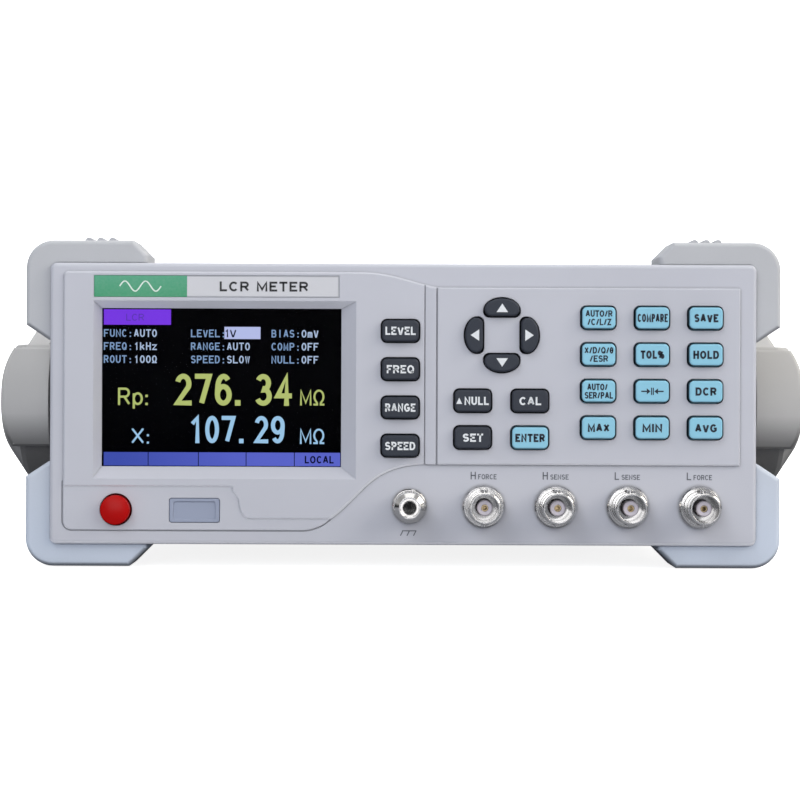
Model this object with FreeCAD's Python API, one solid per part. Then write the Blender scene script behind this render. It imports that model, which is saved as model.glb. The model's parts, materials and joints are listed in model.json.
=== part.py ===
"""Bench LCR meter: half-rack case with carry handle, corner bumpers, keypad, display and four
coaxial jacks.

Frame: +Z up, -Y is the front, +X to the operator's right.
Origin: on the bench plane, under the middle of the overall width and depth.
All dimensions in millimetres. Names with HALF are measured from the case centre line.
"""
import FreeCAD, Part
import math
import os

Vec = FreeCAD.Vector
OUT = "parts"
os.makedirs("parts", exist_ok=True)

# ---------------------------------------------------------------- driving dimensions
CASE_Z = 50.0             # height of the case centre line above the bench
Y_TIP = -177.5            # tips of the coaxial jacks, the foremost point
Y_FACE = -165.0           # front face of the bezel rim
Y_REAR = 177.5            # rear face of the rear bumper

# bezel
BEZEL_HALF_X, BEZEL_HALF_Z = 108.0, 43.0
BEZEL_FLANGE = 3.5        # depth of the visible flange
BEZEL_R = 2.0
WALL = 2.5                # front wall
SKIRT_HALF_X, SKIRT_HALF_Z = 106.4, 41.4
Y_SKIRT = -143.0          # rear end of the skirt
PLATEAU = 0.8             # raised display field
PAD_RAISE = 0.35          # keypad pad, above the display field
LOWER_RAISE = 0.35        # raised power-button field
GROOVE_W, GROOVE_D = 0.42, 0.35   # channel round the raised fields

Y_PLATEAU = Y_FACE - PLATEAU
Y_PAD = Y_PLATEAU - PAD_RAISE
Y_LOWER = Y_FACE - LOWER_RAISE
Y_INNER = Y_FACE + WALL   # inside of the front wall
Y_BOARD = Y_INNER + 3.5   # front of the keypad board, less its clearance

# sleeve and rear panel
SLEEVE_HALF_X, SLEEVE_HALF_Z, SLEEVE_T = 106.5, 41.5, 1.2
Y_SLEEVE0, Y_SLEEVE1 = -142.8, 172.0
Y_PANEL0, Y_PANEL1 = 170.0, Y_SLEEVE1
PANEL_CUT = (Y_PANEL0 - 1, Y_PANEL1 + 1)   # y range of a cut through the rear panel
PANEL_SCREWS = [(x, CASE_Z + z) for z in (-30.0, 30.0) for x in (-98.0, 98.0)]

# bumpers
BUMPER_HALF_X, BUMPER_HALF_Z = 115.8, 50.0
BUMPER_R = 8.5
BUMPER_DEPTH = 21.0
Y_FRONT_BUMPER = -162.5
Y_REAR_BUMPER = Y_REAR - BUMPER_DEPTH
GRASP_X, GRASP_Z = SLEEVE_HALF_X + 0.05, SLEEVE_HALF_Z + 0.05   # bore of a bumper

# handle
PIVOT_Y = Y_FACE + 55.0
HANDLE_L = 150.0          # pivot to grip centre
GRIP_W, GRIP_T = 26.0, 11.0
GRIP_GAP = 0.8            # under the folded grip
HANDLE_ANGLE = math.asin((SLEEVE_HALF_Z + GRIP_GAP + GRIP_T / 2) / HANDLE_L)
HUB_R = 26.0              # rim of the domed pivot disc
HUB_FLAT = 18.6           # level of the flat on the disc
NOSE_R = 29.3             # reach of the arm's nose in front of the pivot
HUB_CORE_R = 15.0         # drum between the case and the disc
AXLE_R = 9.0
RUN = 0.05                # radial running clearance on the axle
X_DISC = 111.9            # inner face of the disc
X_ARM0, X_ARM1 = 119.4, 128.0
X_ELBOW = X_ARM1 + 0.6
X_DOME = 132.2            # crown of the dome

# front panel fittings
JACK_PITCH = 22.0
JACK_X = [24.6 + JACK_PITCH * i for i in range(4)]
JACK_Z = CASE_Z - 31.0
JACK_R = 4.8
GROUND_X, GROUND_Z = 2.0, JACK_Z
POWER_X, POWER_Z = -87.6, CASE_Z - 32.4
PORT_X, PORT_Z = -63.6, CASE_Z - 32.6
LCD_X0, LCD_X1 = -92.45, -19.0
LCD_Z0, LCD_Z1 = CASE_Z - 19.35, CASE_Z + 29.2
Y_WINDOW = Y_INNER + 1.0

# bosses behind the front wall: x, z, radius
BOARD_BOSSES = [(-8.0, CASE_Z + 32, 2.8), (101.0, CASE_Z + 32, 2.2),
                (10.2, CASE_Z - 14.0, 2.4), (101.0, CASE_Z - 15.0, 2.2)]
BOARD_POINTS = [(x, z) for x, z, radius in BOARD_BOSSES]
LCD_POINTS = [(-99.3, CASE_Z - 23.0), (-99.3, CASE_Z + 36.0),
              (-14.0, CASE_Z + 36.0), (-14.0, CASE_Z - 23.0)]

# keys
KEY_PROUD = 2.0           # key top above the keypad pad
KEY_GAP = 0.5             # gap all round a key
Y_KEY_TOP = Y_PAD - KEY_PROUD
Y_KEY_FLANGE0, Y_KEY_FLANGE1 = Y_INNER + 0.2, Y_INNER + 1.2
Y_PILL = Y_KEY_FLANGE1 + 1.0
ARROW_X, ARROW_Z, ARROW_REACH = 30.0, 21.2, 8.5
GRID_X = [59.4 + 16.3 * i for i in range(3)]
GRID_Z = [26.6 - 11.15 * i for i in range(4)]
GRID_NAMES = (("primary", "compare", "save"),
              ("secondary", "tolerance", "hold"),
              ("circuit", "sorting", "dcr"),
              ("max", "min", "average"))

# name, is an arrow key, x, z above the centre line, hole width, hole height, turn in degrees
KEYS = [
    ("level", False, -0.9, 22.4, 12.1, 7.4, 0),
    ("freq", False, -0.9, 10.73, 12.1, 7.4, 0),
    ("range", False, -0.9, -0.93, 12.1, 7.4, 0),
    ("speed", False, -0.9, -12.6, 12.1, 7.4, 0),
    ("up", True, ARROW_X, ARROW_Z + ARROW_REACH, 11.5, 6.3, 0),
    ("left", True, ARROW_X - ARROW_REACH, ARROW_Z, 11.5, 6.3, 90),
    ("down", True, ARROW_X, ARROW_Z - ARROW_REACH, 11.5, 6.3, 180),
    ("right", True, ARROW_X + ARROW_REACH, ARROW_Z, 11.5, 6.3, 270),
    ("null", False, 21.2, 1.2, 12.0, 7.6, 0),
    ("cal", False, 38.6, 1.2, 12.0, 7.6, 0),
    ("set", False, 21.2, -10.0, 12.0, 7.6, 0),
    ("enter", False, 38.6, -10.0, 12.0, 7.6, 0),
] + [(name, False, x, z, 11.2, 7.6, 0)
     for names, z in zip(GRID_NAMES, GRID_Z) for name, x in zip(names, GRID_X)]

# rear connectors and main board
INLET_X, INLET_Z = 62.0, CASE_Z - 12.0
SERIAL_X, SERIAL_Z = -60.0, CASE_Z - 16.0
SERIAL_SCREWS = [(SERIAL_X - 12.5, SERIAL_Z), (SERIAL_X + 12.5, SERIAL_Z)]
USB_X, USB_Z = -22.0, CASE_Z - 16.0
Z_BOARD0, Z_BOARD1 = CASE_Z - 30.0, CASE_Z - 28.4   # main board, bottom and top
Z_MOUNT = CASE_Z - 28.38                            # underside of its components
MAIN_BOARD_HOLES = [(-86, -104), (34, -104), (-86, 114), (34, 114), (-26, -104), (-26, 114)]

# Outlines of the raised fields: (kind of run, points as (x, z above the centre line))
DISPLAY_FIELD = [
    ("arc", [(-103.8, 38.85), (-103.36, 39.91), (-102.3, 40.35)]),
    ("line", [(-102.3, 40.35), (-12.5, 40.35)]),
    ("flat", [(-12.5, 40.35), (-6.0, 39.75), (-1.0, 38.7), (4.0, 37.3), (8.5, 36.2),
              (13.0, 35.7)]),
    ("line", [(13.0, 35.7), (101.7, 35.7)]),
    ("arc", [(101.7, 35.7), (102.41, 35.41), (102.7, 34.7)]),
    ("line", [(102.7, 34.7), (102.7, -17.3)]),
    ("arc", [(102.7, -17.3), (102.41, -18.01), (101.7, -18.3)]),
    ("line", [(101.7, -18.3), (8.5, -18.3)]),
    ("spline", [(8.5, -18.3), (4.6, -18.45), (0.4, -19.0), (-3.4, -20.1), (-7.1, -21.9),
                (-10.2, -24.2), (-13.2, -27.1), (-16.3, -30.2), (-19.3, -33.0),
                (-22.2, -35.25)]),
    ("line", [(-22.2, -35.25), (-46.6, -35.25)]),
    ("flat", [(-46.6, -35.25), (-49.0, -34.0), (-50.1, -31.6), (-50.8, -28.6),
              (-52.3, -26.3), (-55.0, -25.4)]),
    ("line", [(-55.0, -25.4), (-103.8, -25.4), (-103.8, 38.85)]),
]
LOWER_FIELD = [
    ("line", [(-103.8, -24.0), (-103.8, -35.9)]),
    ("arc", [(-103.8, -35.9), (-103.01, -37.81), (-101.1, -38.6)]),
    ("line", [(-101.1, -38.6), (-30.6, -38.6)]),
    ("arc", [(-30.6, -38.6), (-26.2, -37.7), (-22.4, -35.3)]),
    ("line", [(-22.4, -35.3), (-22.4, -24.0), (-103.8, -24.0)]),
]


# ---------------------------------------------------------------- solids
def box(x0, x1, y0, y1, z0, z1):
    return Part.makeBox(x1 - x0, y1 - y0, z1 - z0, Vec(x0, y0, z0))


def bar_y(x, z, half_x, half_z, y0, y1):
    """Square-cornered bar along Y centred on (x, z)."""
    return box(x - half_x, x + half_x, y0, y1, z - half_z, z + half_z)


def cyl_y(x, z, radius, y0, y1):
    return Part.makeCylinder(radius, y1 - y0, Vec(x, y0, z), Vec(0, 1, 0))


def cyls_y(points, radius, y0, y1):
    return [cyl_y(x, z, radius, y0, y1) for x, z in points]


def cyl_z(x, y, radius, z0, z1):
    return Part.makeCylinder(radius, z1 - z0, Vec(x, y, z0), Vec(0, 0, 1))


def pivot_cyl(radius, x0, x1):
    """Cylinder on the handle pivot axis."""
    return Part.makeCylinder(radius, x1 - x0, Vec(x0, PIVOT_Y, CASE_Z), Vec(1, 0, 0))


def cone_y(x, z, radius0, radius1, y0, y1):
    return Part.makeCone(radius0, radius1, y1 - y0, Vec(x, y0, z), Vec(0, 1, 0))


def polygon_prism(points, along):
    """Prism from a list of vectors, closed here, swept by the vector along."""
    return Part.Face(Part.makePolygon(points + [points[0]])).extrude(along)


def hex_y(x, z, across_flats, y0, y1, turn=0.0):
    radius = across_flats / math.sqrt(3)
    angles = [math.radians(60 * i + turn) for i in range(6)]
    points = [Vec(x + radius * math.cos(a), y0, z + radius * math.sin(a)) for a in angles]
    return polygon_prism(points, Vec(0, y1 - y0, 0))


def line(start, end):
    return Part.makeLine(start, end)


def arc(start, middle, end):
    return Part.Arc(start, middle, end).toShape()


def wire_rounded(width, height, r):
    """Rounded rectangle in the XY plane, centred."""
    x, y = width / 2, height / 2
    k = r * math.sqrt(0.5)
    return Part.Wire(Part.__sortEdges__([
        line(Vec(-x + r, -y), Vec(x - r, -y)),
        arc(Vec(x - r, -y), Vec(x - r + k, -y + r - k), Vec(x, -y + r)),
        line(Vec(x, -y + r), Vec(x, y - r)),
        arc(Vec(x, y - r), Vec(x - r + k, y - r + k), Vec(x - r, y)),
        line(Vec(x - r, y), Vec(-x + r, y)),
        arc(Vec(-x + r, y), Vec(-x + r - k, y - r + k), Vec(-x, y - r)),
        line(Vec(-x, y - r), Vec(-x, -y + r)),
        arc(Vec(-x, -y + r), Vec(-x + r - k, -y + r - k), Vec(-x + r, -y)),
    ]))


def wire_arrow(width, height, foot=2.2, r=1.9):
    """Arrow-key outline in the XY plane: flat base, rounded corners, half-ellipse top."""
    x, y = width / 2, height / 2
    k = r * math.sqrt(0.5)
    ellipse = Part.Ellipse(Vec(0, -y + foot), x, height - foot)
    return Part.Wire(Part.__sortEdges__([
        Part.Arc(ellipse, 0, math.pi).toShape(),
        line(Vec(-x, -y + foot), Vec(-x, -y + r)),
        arc(Vec(-x, -y + r), Vec(-x + r - k, -y + r - k), Vec(-x + r, -y)),
        line(Vec(-x + r, -y), Vec(x - r, -y)),
        arc(Vec(x - r, -y), Vec(x - r + k, -y + r - k), Vec(x, -y + r)),
        line(Vec(x, -y + r), Vec(x, -y + foot)),
    ]))


def stand_up(wire, x, z, y0, y1, turn=0.0):
    """A wire in the XY plane becomes a prism along +Y at (x, z)."""
    face = Part.Face(wire)
    if turn:
        face.rotate(Vec(0, 0, 0), Vec(0, 0, 1), turn)
    face.rotate(Vec(0, 0, 0), Vec(1, 0, 0), 90)
    face.translate(Vec(x, y0, z))
    return face.extrude(Vec(0, y1 - y0, 0))


def rounded(x0, x1, z0, z1, radius, y0, y1):
    """Rounded-rectangle prism along Y, given by its limits."""
    wire = wire_rounded(x1 - x0, z1 - z0, radius)
    return stand_up(wire, (x0 + x1) / 2, (z0 + z1) / 2, y0, y1)


def rounded_at(x, z, half_x, half_z, radius, y0, y1):
    """Rounded-rectangle prism along Y, centred on (x, z)."""
    return rounded(x - half_x, x + half_x, z - half_z, z + half_z, radius, y0, y1)


def case_prism(half_x, half_z, radius, y0, y1):
    """Rounded-rectangle prism centred on the case."""
    return rounded_at(0.0, CASE_Z, half_x, half_z, radius, y0, y1)


def spline(points, *tangents):
    """Interpolated edge, with start and end tangents if they are given."""
    curve = Part.BSplineCurve()
    if tangents:
        curve.interpolate(Points=points, InitialTangent=tangents[0], FinalTangent=tangents[1])
    else:
        curve.interpolate(points)
    return curve.toShape()


def outline(runs):
    """Closed wire in the XZ plane from (kind, points); points are (x, z above the centre line)."""
    edges = []
    for kind, pairs in runs:
        points = [Vec(x, 0, CASE_Z + z) for x, z in pairs]
        if kind == "line":
            edges += [line(a, b) for a, b in zip(points, points[1:])]
        elif kind == "arc":
            edges.append(arc(*points))
        elif kind == "flat":      # spline leaving and arriving horizontally
            level = Vec(1.0 if points[-1].x > points[0].x else -1.0, 0, 0)
            edges.append(spline(points, level, level))
        else:
            edges.append(spline(points))
    return Part.Wire(Part.__sortEdges__(edges))


def prism(wire, y0, y1):
    """Prism along Y from a wire in the XZ plane."""
    face = Part.Face(wire)
    face.translate(Vec(0, y0, 0))
    return face.extrude(Vec(0, y1 - y0, 0))


# ---------------------------------------------------------------- operations
def ease(shape, edges, sizes, chamfer=False, share=None, one_solid=False):
    """Fillet or chamfer edges with the first size that works.

    The kernel can refuse an edge set or return a damaged solid, so each size is guarded;
    if none works the shape is returned as it was. share is the least volume left.
    """
    for size in sizes:
        try:
            new = shape.makeChamfer(size, edges) if chamfer else shape.makeFillet(size, edges)
            if (new.isValid() and (share is None or new.Volume > share * shape.Volume)
                    and (not one_solid or len(new.Solids) == 1)):
                return new
        except Exception:
            continue
    return shape


def edges_on_y(shape, y, tol=1e-4):
    def middle(edge):
        return edge.valueAt((edge.FirstParameter + edge.LastParameter) / 2)
    return [e for e in shape.Edges if all(abs(v.Point.y - y) < tol for v in e.Vertexes)
            and abs(middle(e).y - y) < tol]


def soften(shape, y, size, chamfer=False):
    """Round or chamfer every edge lying in the plane y."""
    return ease(shape, edges_on_y(shape, y), (size,), chamfer, share=0.5)


def fuse(shapes):
    return shapes[0].multiFuse(shapes[1:]).removeSplitter()


def mirror_x(shape):
    return shape.mirror(Vec(0, 0, 0), Vec(1, 0, 0))


def save(name, *shapes):
    """Write all the solids of the shapes to one file."""
    solids = [solid for shape in shapes for solid in shape.Solids]
    assert solids, name + " has no solid"
    for solid in solids:
        assert solid.isValid() and solid.Volume > 0, name + " has a bad solid"
    out = solids[0] if len(solids) == 1 else Part.makeCompound(solids)
    out.exportStep(os.path.join(OUT, name + ".step"))


# ---------------------------------------------------------------- keys
def key_prism(key, grow, radius, y0, y1):
    """Prism of a key's hole outline, grown by grow in width and height."""
    _, is_arrow, x, z, width, height, turn = key
    width, height = width + grow, height + grow
    wire = wire_arrow(width, height) if is_arrow else wire_rounded(width, height, radius)
    return stand_up(wire, x, CASE_Z + z, y0, y1, turn)


def make_key(key):
    """Cap, retaining flange behind the wall and contact pill, in one solid."""
    _, is_arrow, x, z = key[:4]
    cap = key_prism(key, -2 * KEY_GAP, 1.5, Y_KEY_TOP, Y_KEY_FLANGE0 + 0.3)
    cap = soften(cap, Y_KEY_TOP, 0.55)
    flange = key_prism(key, 0.3 if is_arrow else 1.2, 2.2, Y_KEY_FLANGE0, Y_KEY_FLANGE1)
    pill = cyl_y(x, CASE_Z + z, 1.7, Y_KEY_FLANGE1 - 0.3, Y_PILL)
    return fuse([cap, flange, pill])


def keypad_mat():
    mat = rounded(-11.0, 102.5, CASE_Z - 18.2, CASE_Z + 34.8, 1.5, Y_BOARD - 1.0, Y_BOARD - 0.02)
    pills = [(key[2], CASE_Z + key[3]) for key in KEYS]
    return mat.cut(cyls_y(pills, 2.3, Y_BOARD - 3, Y_BOARD + 1)
                   + cyls_y(BOARD_POINTS, 3.1, Y_BOARD - 2, Y_BOARD + 1))


def keypad_board():
    board = rounded(-11.2, 103.0, CASE_Z - 19.4, CASE_Z + 36.0, 1.5,
                    Y_BOARD + 0.02, Y_BOARD + 1.62)
    return board.cut(cyls_y(BOARD_POINTS, 1.1, Y_BOARD - 1, Y_BOARD + 3))


# ---------------------------------------------------------------- front bezel
def keypad_pad():
    """Raised keypad pad: a ramp on its left side, chamfered edges elsewhere."""
    z0 = CASE_Z - 18.3
    profile = [(6.9, Y_FACE + 1), (6.9, Y_PLATEAU), (9.5, Y_PAD),
               (102.7, Y_PAD), (102.7, Y_FACE + 1)]
    pad = polygon_prism([Vec(x, y, z0) for x, y in profile], Vec(0, 0, 54.0))
    edges = [e for e in edges_on_y(pad, Y_PAD) if e.CenterOfMass.x > 12.0]
    return ease(pad, edges, (0.32,), chamfer=True)


def bezel_shell(field_wire, lower_wire):
    """Bezel before its openings: flange, skirt, raised fields and the bosses inside."""
    flange = case_prism(BEZEL_HALF_X, BEZEL_HALF_Z, BEZEL_R, Y_FACE, Y_FACE + BEZEL_FLANGE)
    flange = soften(flange, Y_FACE, 1.3)
    skirt = case_prism(SKIRT_HALF_X, SKIRT_HALF_Z, 2.5, Y_FACE + 2.0, Y_SKIRT)
    tongue = case_prism(105.2, 40.2, 1.6, Y_SKIRT - 1, Y_SKIRT + 6)
    field = soften(prism(field_wire, Y_PLATEAU, Y_FACE + 1), Y_PLATEAU, 0.5, chamfer=True)
    lower = soften(prism(lower_wire, Y_LOWER, Y_FACE + 1), Y_LOWER, 0.2, chamfer=True)
    shell = fuse([flange, skirt, tongue, lower, field, keypad_pad()])
    shell = shell.cut(case_prism(103.7, 38.8, 1.5, Y_INNER, Y_SKIRT + 8))
    window_frame = box(-98.0, -13.0, Y_INNER - 0.5, Y_INNER + 1.0, CASE_Z - 25.5, CASE_Z + 35)
    bosses = [cyl_y(x, z, radius, Y_INNER - 0.5, Y_BOARD) for x, z, radius in BOARD_BOSSES]
    bosses += cyls_y(LCD_POINTS, 2.5, Y_INNER - 0.5, Y_INNER + 5.35)
    return fuse([shell, window_frame] + bosses)


def rect_wire(x0, x1, z0, z1, y):
    corners = ((x0, z0), (x1, z0), (x1, z1), (x0, z1), (x0, z0))
    return Part.makePolygon([Vec(x, y, z) for x, z in corners])


def display_recess():
    """Four sloping sides of different width, from in front of the field to the lip."""
    lip = (LCD_X0, LCD_X1, LCD_Z0, LCD_Z1)
    mouth = (-94.6, -14.4, CASE_Z - 22.9, CASE_Z + 31.4)    # at the display field surface
    y_front, y_lip = Y_PLATEAU - 0.4, Y_INNER + 0.2
    stretch = (y_front - y_lip) / (Y_PLATEAU - y_lip)
    front = [a + (b - a) * stretch for a, b in zip(lip, mouth)]
    return Part.makeLoft([rect_wire(*front, y_front), rect_wire(*lip, y_lip)], True, True)


def bezel_openings():
    y_back = Y_INNER + 1
    z_seam = CASE_Z - 18.6
    through = box(LCD_X0, LCD_X1, Y_INNER - 0.3, Y_INNER + 2, LCD_Z0, LCD_Z1)
    label_bed = box(-94.5, -19.6, Y_PLATEAU - 1, Y_PLATEAU + 0.35, CASE_Z + 32.45, CASE_Z + 39.15)
    # two upright slits at the left edge of the keypad pad
    seam = box(10.0, 10.5, Y_PAD - 1, Y_PAD + 0.5, z_seam, CASE_Z + 36.4)
    seam = seam.fuse(box(6.4, 6.75, Y_PLATEAU - 1, Y_PLATEAU + 0.4, z_seam, CASE_Z + 36.8))
    cuts = [display_recess(), through, label_bed, seam]
    cuts += [key_prism(key, 0, 1.9, Y_PAD - 1, y_back) for key in KEYS]
    cuts += [cyl_y(x, JACK_Z, 4.9, Y_FACE - 1, y_back) for x in JACK_X]
    cuts.append(cyl_y(GROUND_X, GROUND_Z, 3.1, Y_FACE - 1, y_back))
    cuts.append(cyl_y(POWER_X, POWER_Z, 4.95, Y_FACE - 2, y_back))
    cuts.append(rounded_at(PORT_X, PORT_Z, 7.8, 3.8, 0.9, Y_FACE - 2, y_back))
    cuts += cyls_y(BOARD_POINTS, 1.0, Y_INNER + 0.5, Y_BOARD + 1)
    cuts += cyls_y(LCD_POINTS, 0.9, Y_INNER + 1.5, Y_INNER + 6)
    return cuts


def groove(wire):
    """Narrow channel just outside an outline."""
    wide = Part.Face(wire).makeOffset2D(GROOVE_W, 0, False, False, True)
    band = Part.Face(wide.Faces[0].OuterWire).cut(Part.Face(wire))
    band.translate(Vec(0, Y_FACE - 1.0, 0))
    return band.extrude(Vec(0, 1.0 + GROOVE_D, 0))


def front_bezel():
    field_wire, lower_wire = outline(DISPLAY_FIELD), outline(LOWER_FIELD)
    bezel = bezel_shell(field_wire, lower_wire).cut(bezel_openings())
    field_block = prism(field_wire, Y_FACE - 2, Y_FACE + 2)
    for channel in (groove(field_wire), groove(lower_wire).cut(field_block)):
        for piece in channel.Solids:
            # a groove piece is left out if it would spoil or split the bezel
            trial = bezel.cut(piece)
            if (trial.isValid() and len(trial.Solids) == 1
                    and trial.Volume > 0.99 * bezel.Volume):
                bezel = trial
    return bezel


# ---------------------------------------------------------------- display, labels, port cover
def label_strip():
    return box(-94.4, -19.7, Y_PLATEAU + 0.05, Y_PLATEAU + 0.35, CASE_Z + 32.55, CASE_Z + 39.05)


def display_window():
    return rounded(-96.2, -17.0, CASE_Z - 23.8, CASE_Z + 32.6, 1.0,
                   Y_WINDOW + 0.02, Y_WINDOW + 1.0)


def display_module():
    """Display panel and the carrier plate behind it."""
    x, z0 = (LCD_X0 + LCD_X1) / 2, CASE_Z - 26.4
    panel = rounded(x - 38.4, x + 38.4, z0, CASE_Z + 33.4, 0.6, Y_WINDOW + 1.1, Y_WINDOW + 4.3)
    carrier = box(-102.5, -11.4, Y_WINDOW + 4.4, Y_WINDOW + 6.0, z0, CASE_Z + 38.6)
    carrier = carrier.cut(
        box(x - 20, x + 20, Y_WINDOW + 4, Y_WINDOW + 7, CASE_Z - 6, CASE_Z + 12))
    carrier = carrier.cut(cyls_y(LCD_POINTS, 1.05, Y_WINDOW + 4, Y_WINDOW + 7))
    return panel, carrier


def port_cover():
    """Dished plug with a lip behind the wall."""
    y_front = Y_LOWER + 0.15
    plug = rounded_at(PORT_X, PORT_Z, 7.7, 3.7, 0.8, y_front, Y_INNER + 0.8)
    plug = soften(plug, y_front, 0.25)
    plug = plug.cut(rounded_at(PORT_X, PORT_Z, 6.4, 2.7, 0.8, Y_LOWER - 1, Y_LOWER + 0.4))
    lip = rounded_at(PORT_X, PORT_Z, 8.8, 4.6, 1.0, Y_INNER + 0.1, Y_INNER + 1.4)
    return fuse([plug, lip])


# ---------------------------------------------------------------- power button and switch
def power_button():
    """Button with a spherical front, a collar behind the wall and a square stem."""
    y_front = Y_LOWER - 3.4
    dome_r = 14.0
    button = cyl_y(POWER_X, POWER_Z, 4.45, y_front, Y_INNER + 1.0)
    button = soften(button, y_front, 0.7)
    ball = Part.makeSphere(dome_r, Vec(POWER_X, y_front + dome_r, POWER_Z))
    body = bar_y(POWER_X, POWER_Z, 6, 6, y_front + 1.2, Y_INNER + 2)
    button = button.common(ball.fuse(body))
    collar = cyl_y(POWER_X, POWER_Z, 5.4, Y_INNER + 0.3, Y_INNER + 1.5)
    stem = bar_y(POWER_X, POWER_Z, 2.0, 2.0, Y_INNER + 1.2, Y_INNER + 13.5)
    return fuse([button, collar, stem])


def power_switch():
    """Switch body with a socket for the button stem and three lugs at the rear."""
    y_rear = Y_INNER + 30.0
    body = box(POWER_X - 6.5, POWER_X + 6.5, Y_INNER + 8.0, y_rear, POWER_Z - 5.2, POWER_Z + 6.0)
    body = body.cut(bar_y(POWER_X, POWER_Z, 2.3, 2.3, Y_INNER + 7.0, Y_INNER + 17.5))
    lugs = [bar_y(POWER_X - 4.5 + 4.0 * i, POWER_Z, 0.5, 1.2, y_rear, y_rear + 4.0)
            for i in range(3)]
    return fuse([body] + lugs)


# ---------------------------------------------------------------- coaxial jacks
def jack(x):
    """Jack body: flange, neck, relieved barrel, threaded shank and bayonet studs."""
    flange = cone_y(x, JACK_Z, 6.0, 6.5, Y_FACE - 2.6, Y_FACE - 2.0)
    flange = flange.fuse(cyl_y(x, JACK_Z, 6.5, Y_FACE - 2.0, Y_FACE))
    neck = cyl_y(x, JACK_Z, 5.5, Y_FACE - 4.0, Y_FACE - 2.0)
    barrel = cyl_y(x, JACK_Z, JACK_R, Y_TIP, Y_FACE - 3.5)
    barrel = soften(barrel, Y_TIP, 0.3, chamfer=True)
    relief = cyl_y(x, JACK_Z, JACK_R + 0.5, Y_TIP + 3.9, Y_TIP + 6.3)
    barrel = barrel.cut(relief.cut(cyl_y(x, JACK_Z, JACK_R - 0.25, Y_TIP + 3.8, Y_TIP + 6.4)))
    shank = cyl_y(x, JACK_Z, 4.75, Y_FACE - 2.2, Y_FACE + 13.0)
    studs = cyl_z(x, Y_TIP + 5.1, 0.98, JACK_Z - 5.5, JACK_Z + 5.5)
    return fuse([flange, neck, barrel, shank, studs]).cut([
        cyl_y(x, JACK_Z, 4.075, Y_TIP - 1, Y_TIP + 8.6),
        cyl_y(x, JACK_Z, 2.6, Y_TIP + 8.0, Y_FACE + 14)])


def jack_insulator(x):
    y_front, y_rear = Y_TIP + 3.4, Y_FACE + 13.0
    body = soften(cyl_y(x, JACK_Z, 2.4, y_front, y_rear), y_front, 0.3, chamfer=True)
    collar = cyl_y(x, JACK_Z, 2.55, Y_TIP + 9.5, Y_FACE + 12.0)
    return fuse([body, collar]).cut(cyl_y(x, JACK_Z, 1.1, Y_TIP, Y_FACE + 14))


def jack_contact(x):
    pin = cyl_y(x, JACK_Z, 1.05, Y_TIP + 3.9, Y_FACE + 18.0)
    return pin.cut(cyl_y(x, JACK_Z, 0.68, Y_TIP, Y_TIP + 9.5))


# ---------------------------------------------------------------- ground post and nuts
def ground_post():
    """Base, neck, knurled knob and rear stud, with a countersunk socket from the front."""
    y_tip = Y_FACE - 12.4
    y_base = Y_FACE - 1.6

    def turned(radius, y0, y1):
        return cyl_y(GROUND_X, GROUND_Z, radius, y0, y1)

    base = soften(turned(5.3, y_base, Y_FACE), y_base, 0.4, chamfer=True)
    neck = turned(3.5, Y_FACE - 3.6, Y_FACE - 1.0)
    knob = soften(turned(4.6, y_tip, Y_FACE - 3.4), y_tip, 1.3, chamfer=True)
    angles = [math.radians(15 * i) for i in range(24)]
    flutes = [(GROUND_X + 4.75 * math.cos(a), GROUND_Z + 4.75 * math.sin(a)) for a in angles]
    knob = knob.cut(cyls_y(flutes, 0.3, y_tip + 2.4, Y_FACE - 4.4))
    stud = turned(3.0, Y_FACE - 2, Y_FACE + 16)
    return fuse([base, neck, knob, stud]).cut([
        turned(2.0, y_tip - 1, y_tip + 11.2),
        cone_y(GROUND_X, GROUND_Z, 2.9, 2.0, y_tip - 0.01, y_tip + 0.9)])


def terminal_nuts():
    """Nut and washer on each jack, nut and solder tag on the ground post."""
    nuts = []
    for x in JACK_X:
        nut = hex_y(x, JACK_Z, 14.0, Y_INNER + 1.1, Y_INNER + 3.4)
        nuts.append(nut.cut(cyl_y(x, JACK_Z, 4.85, Y_INNER, Y_INNER + 5)))
        washer = cyl_y(x, JACK_Z, 7.0, Y_INNER + 0.05, Y_INNER + 1.0)
        nuts.append(washer.cut(cyl_y(x, JACK_Z, 4.85, Y_INNER - 1, Y_INNER + 2)))
    nut = hex_y(GROUND_X, GROUND_Z, 8.0, Y_INNER + 1.0, Y_INNER + 3.4)
    nuts.append(nut.cut(cyl_y(GROUND_X, GROUND_Z, 3.1, Y_INNER, Y_INNER + 5)))
    tag_y = (Y_INNER + 0.1, Y_INNER + 0.9)
    tag = cyl_y(GROUND_X, GROUND_Z, 5.0, *tag_y)
    tag = tag.fuse(box(GROUND_X - 2.0, GROUND_X + 2.0, *tag_y, GROUND_Z + 2, GROUND_Z + 9.0))
    nuts.append(tag.cut(cyl_y(GROUND_X, GROUND_Z, 3.1, Y_INNER - 1, Y_INNER + 2)))
    return nuts


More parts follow.
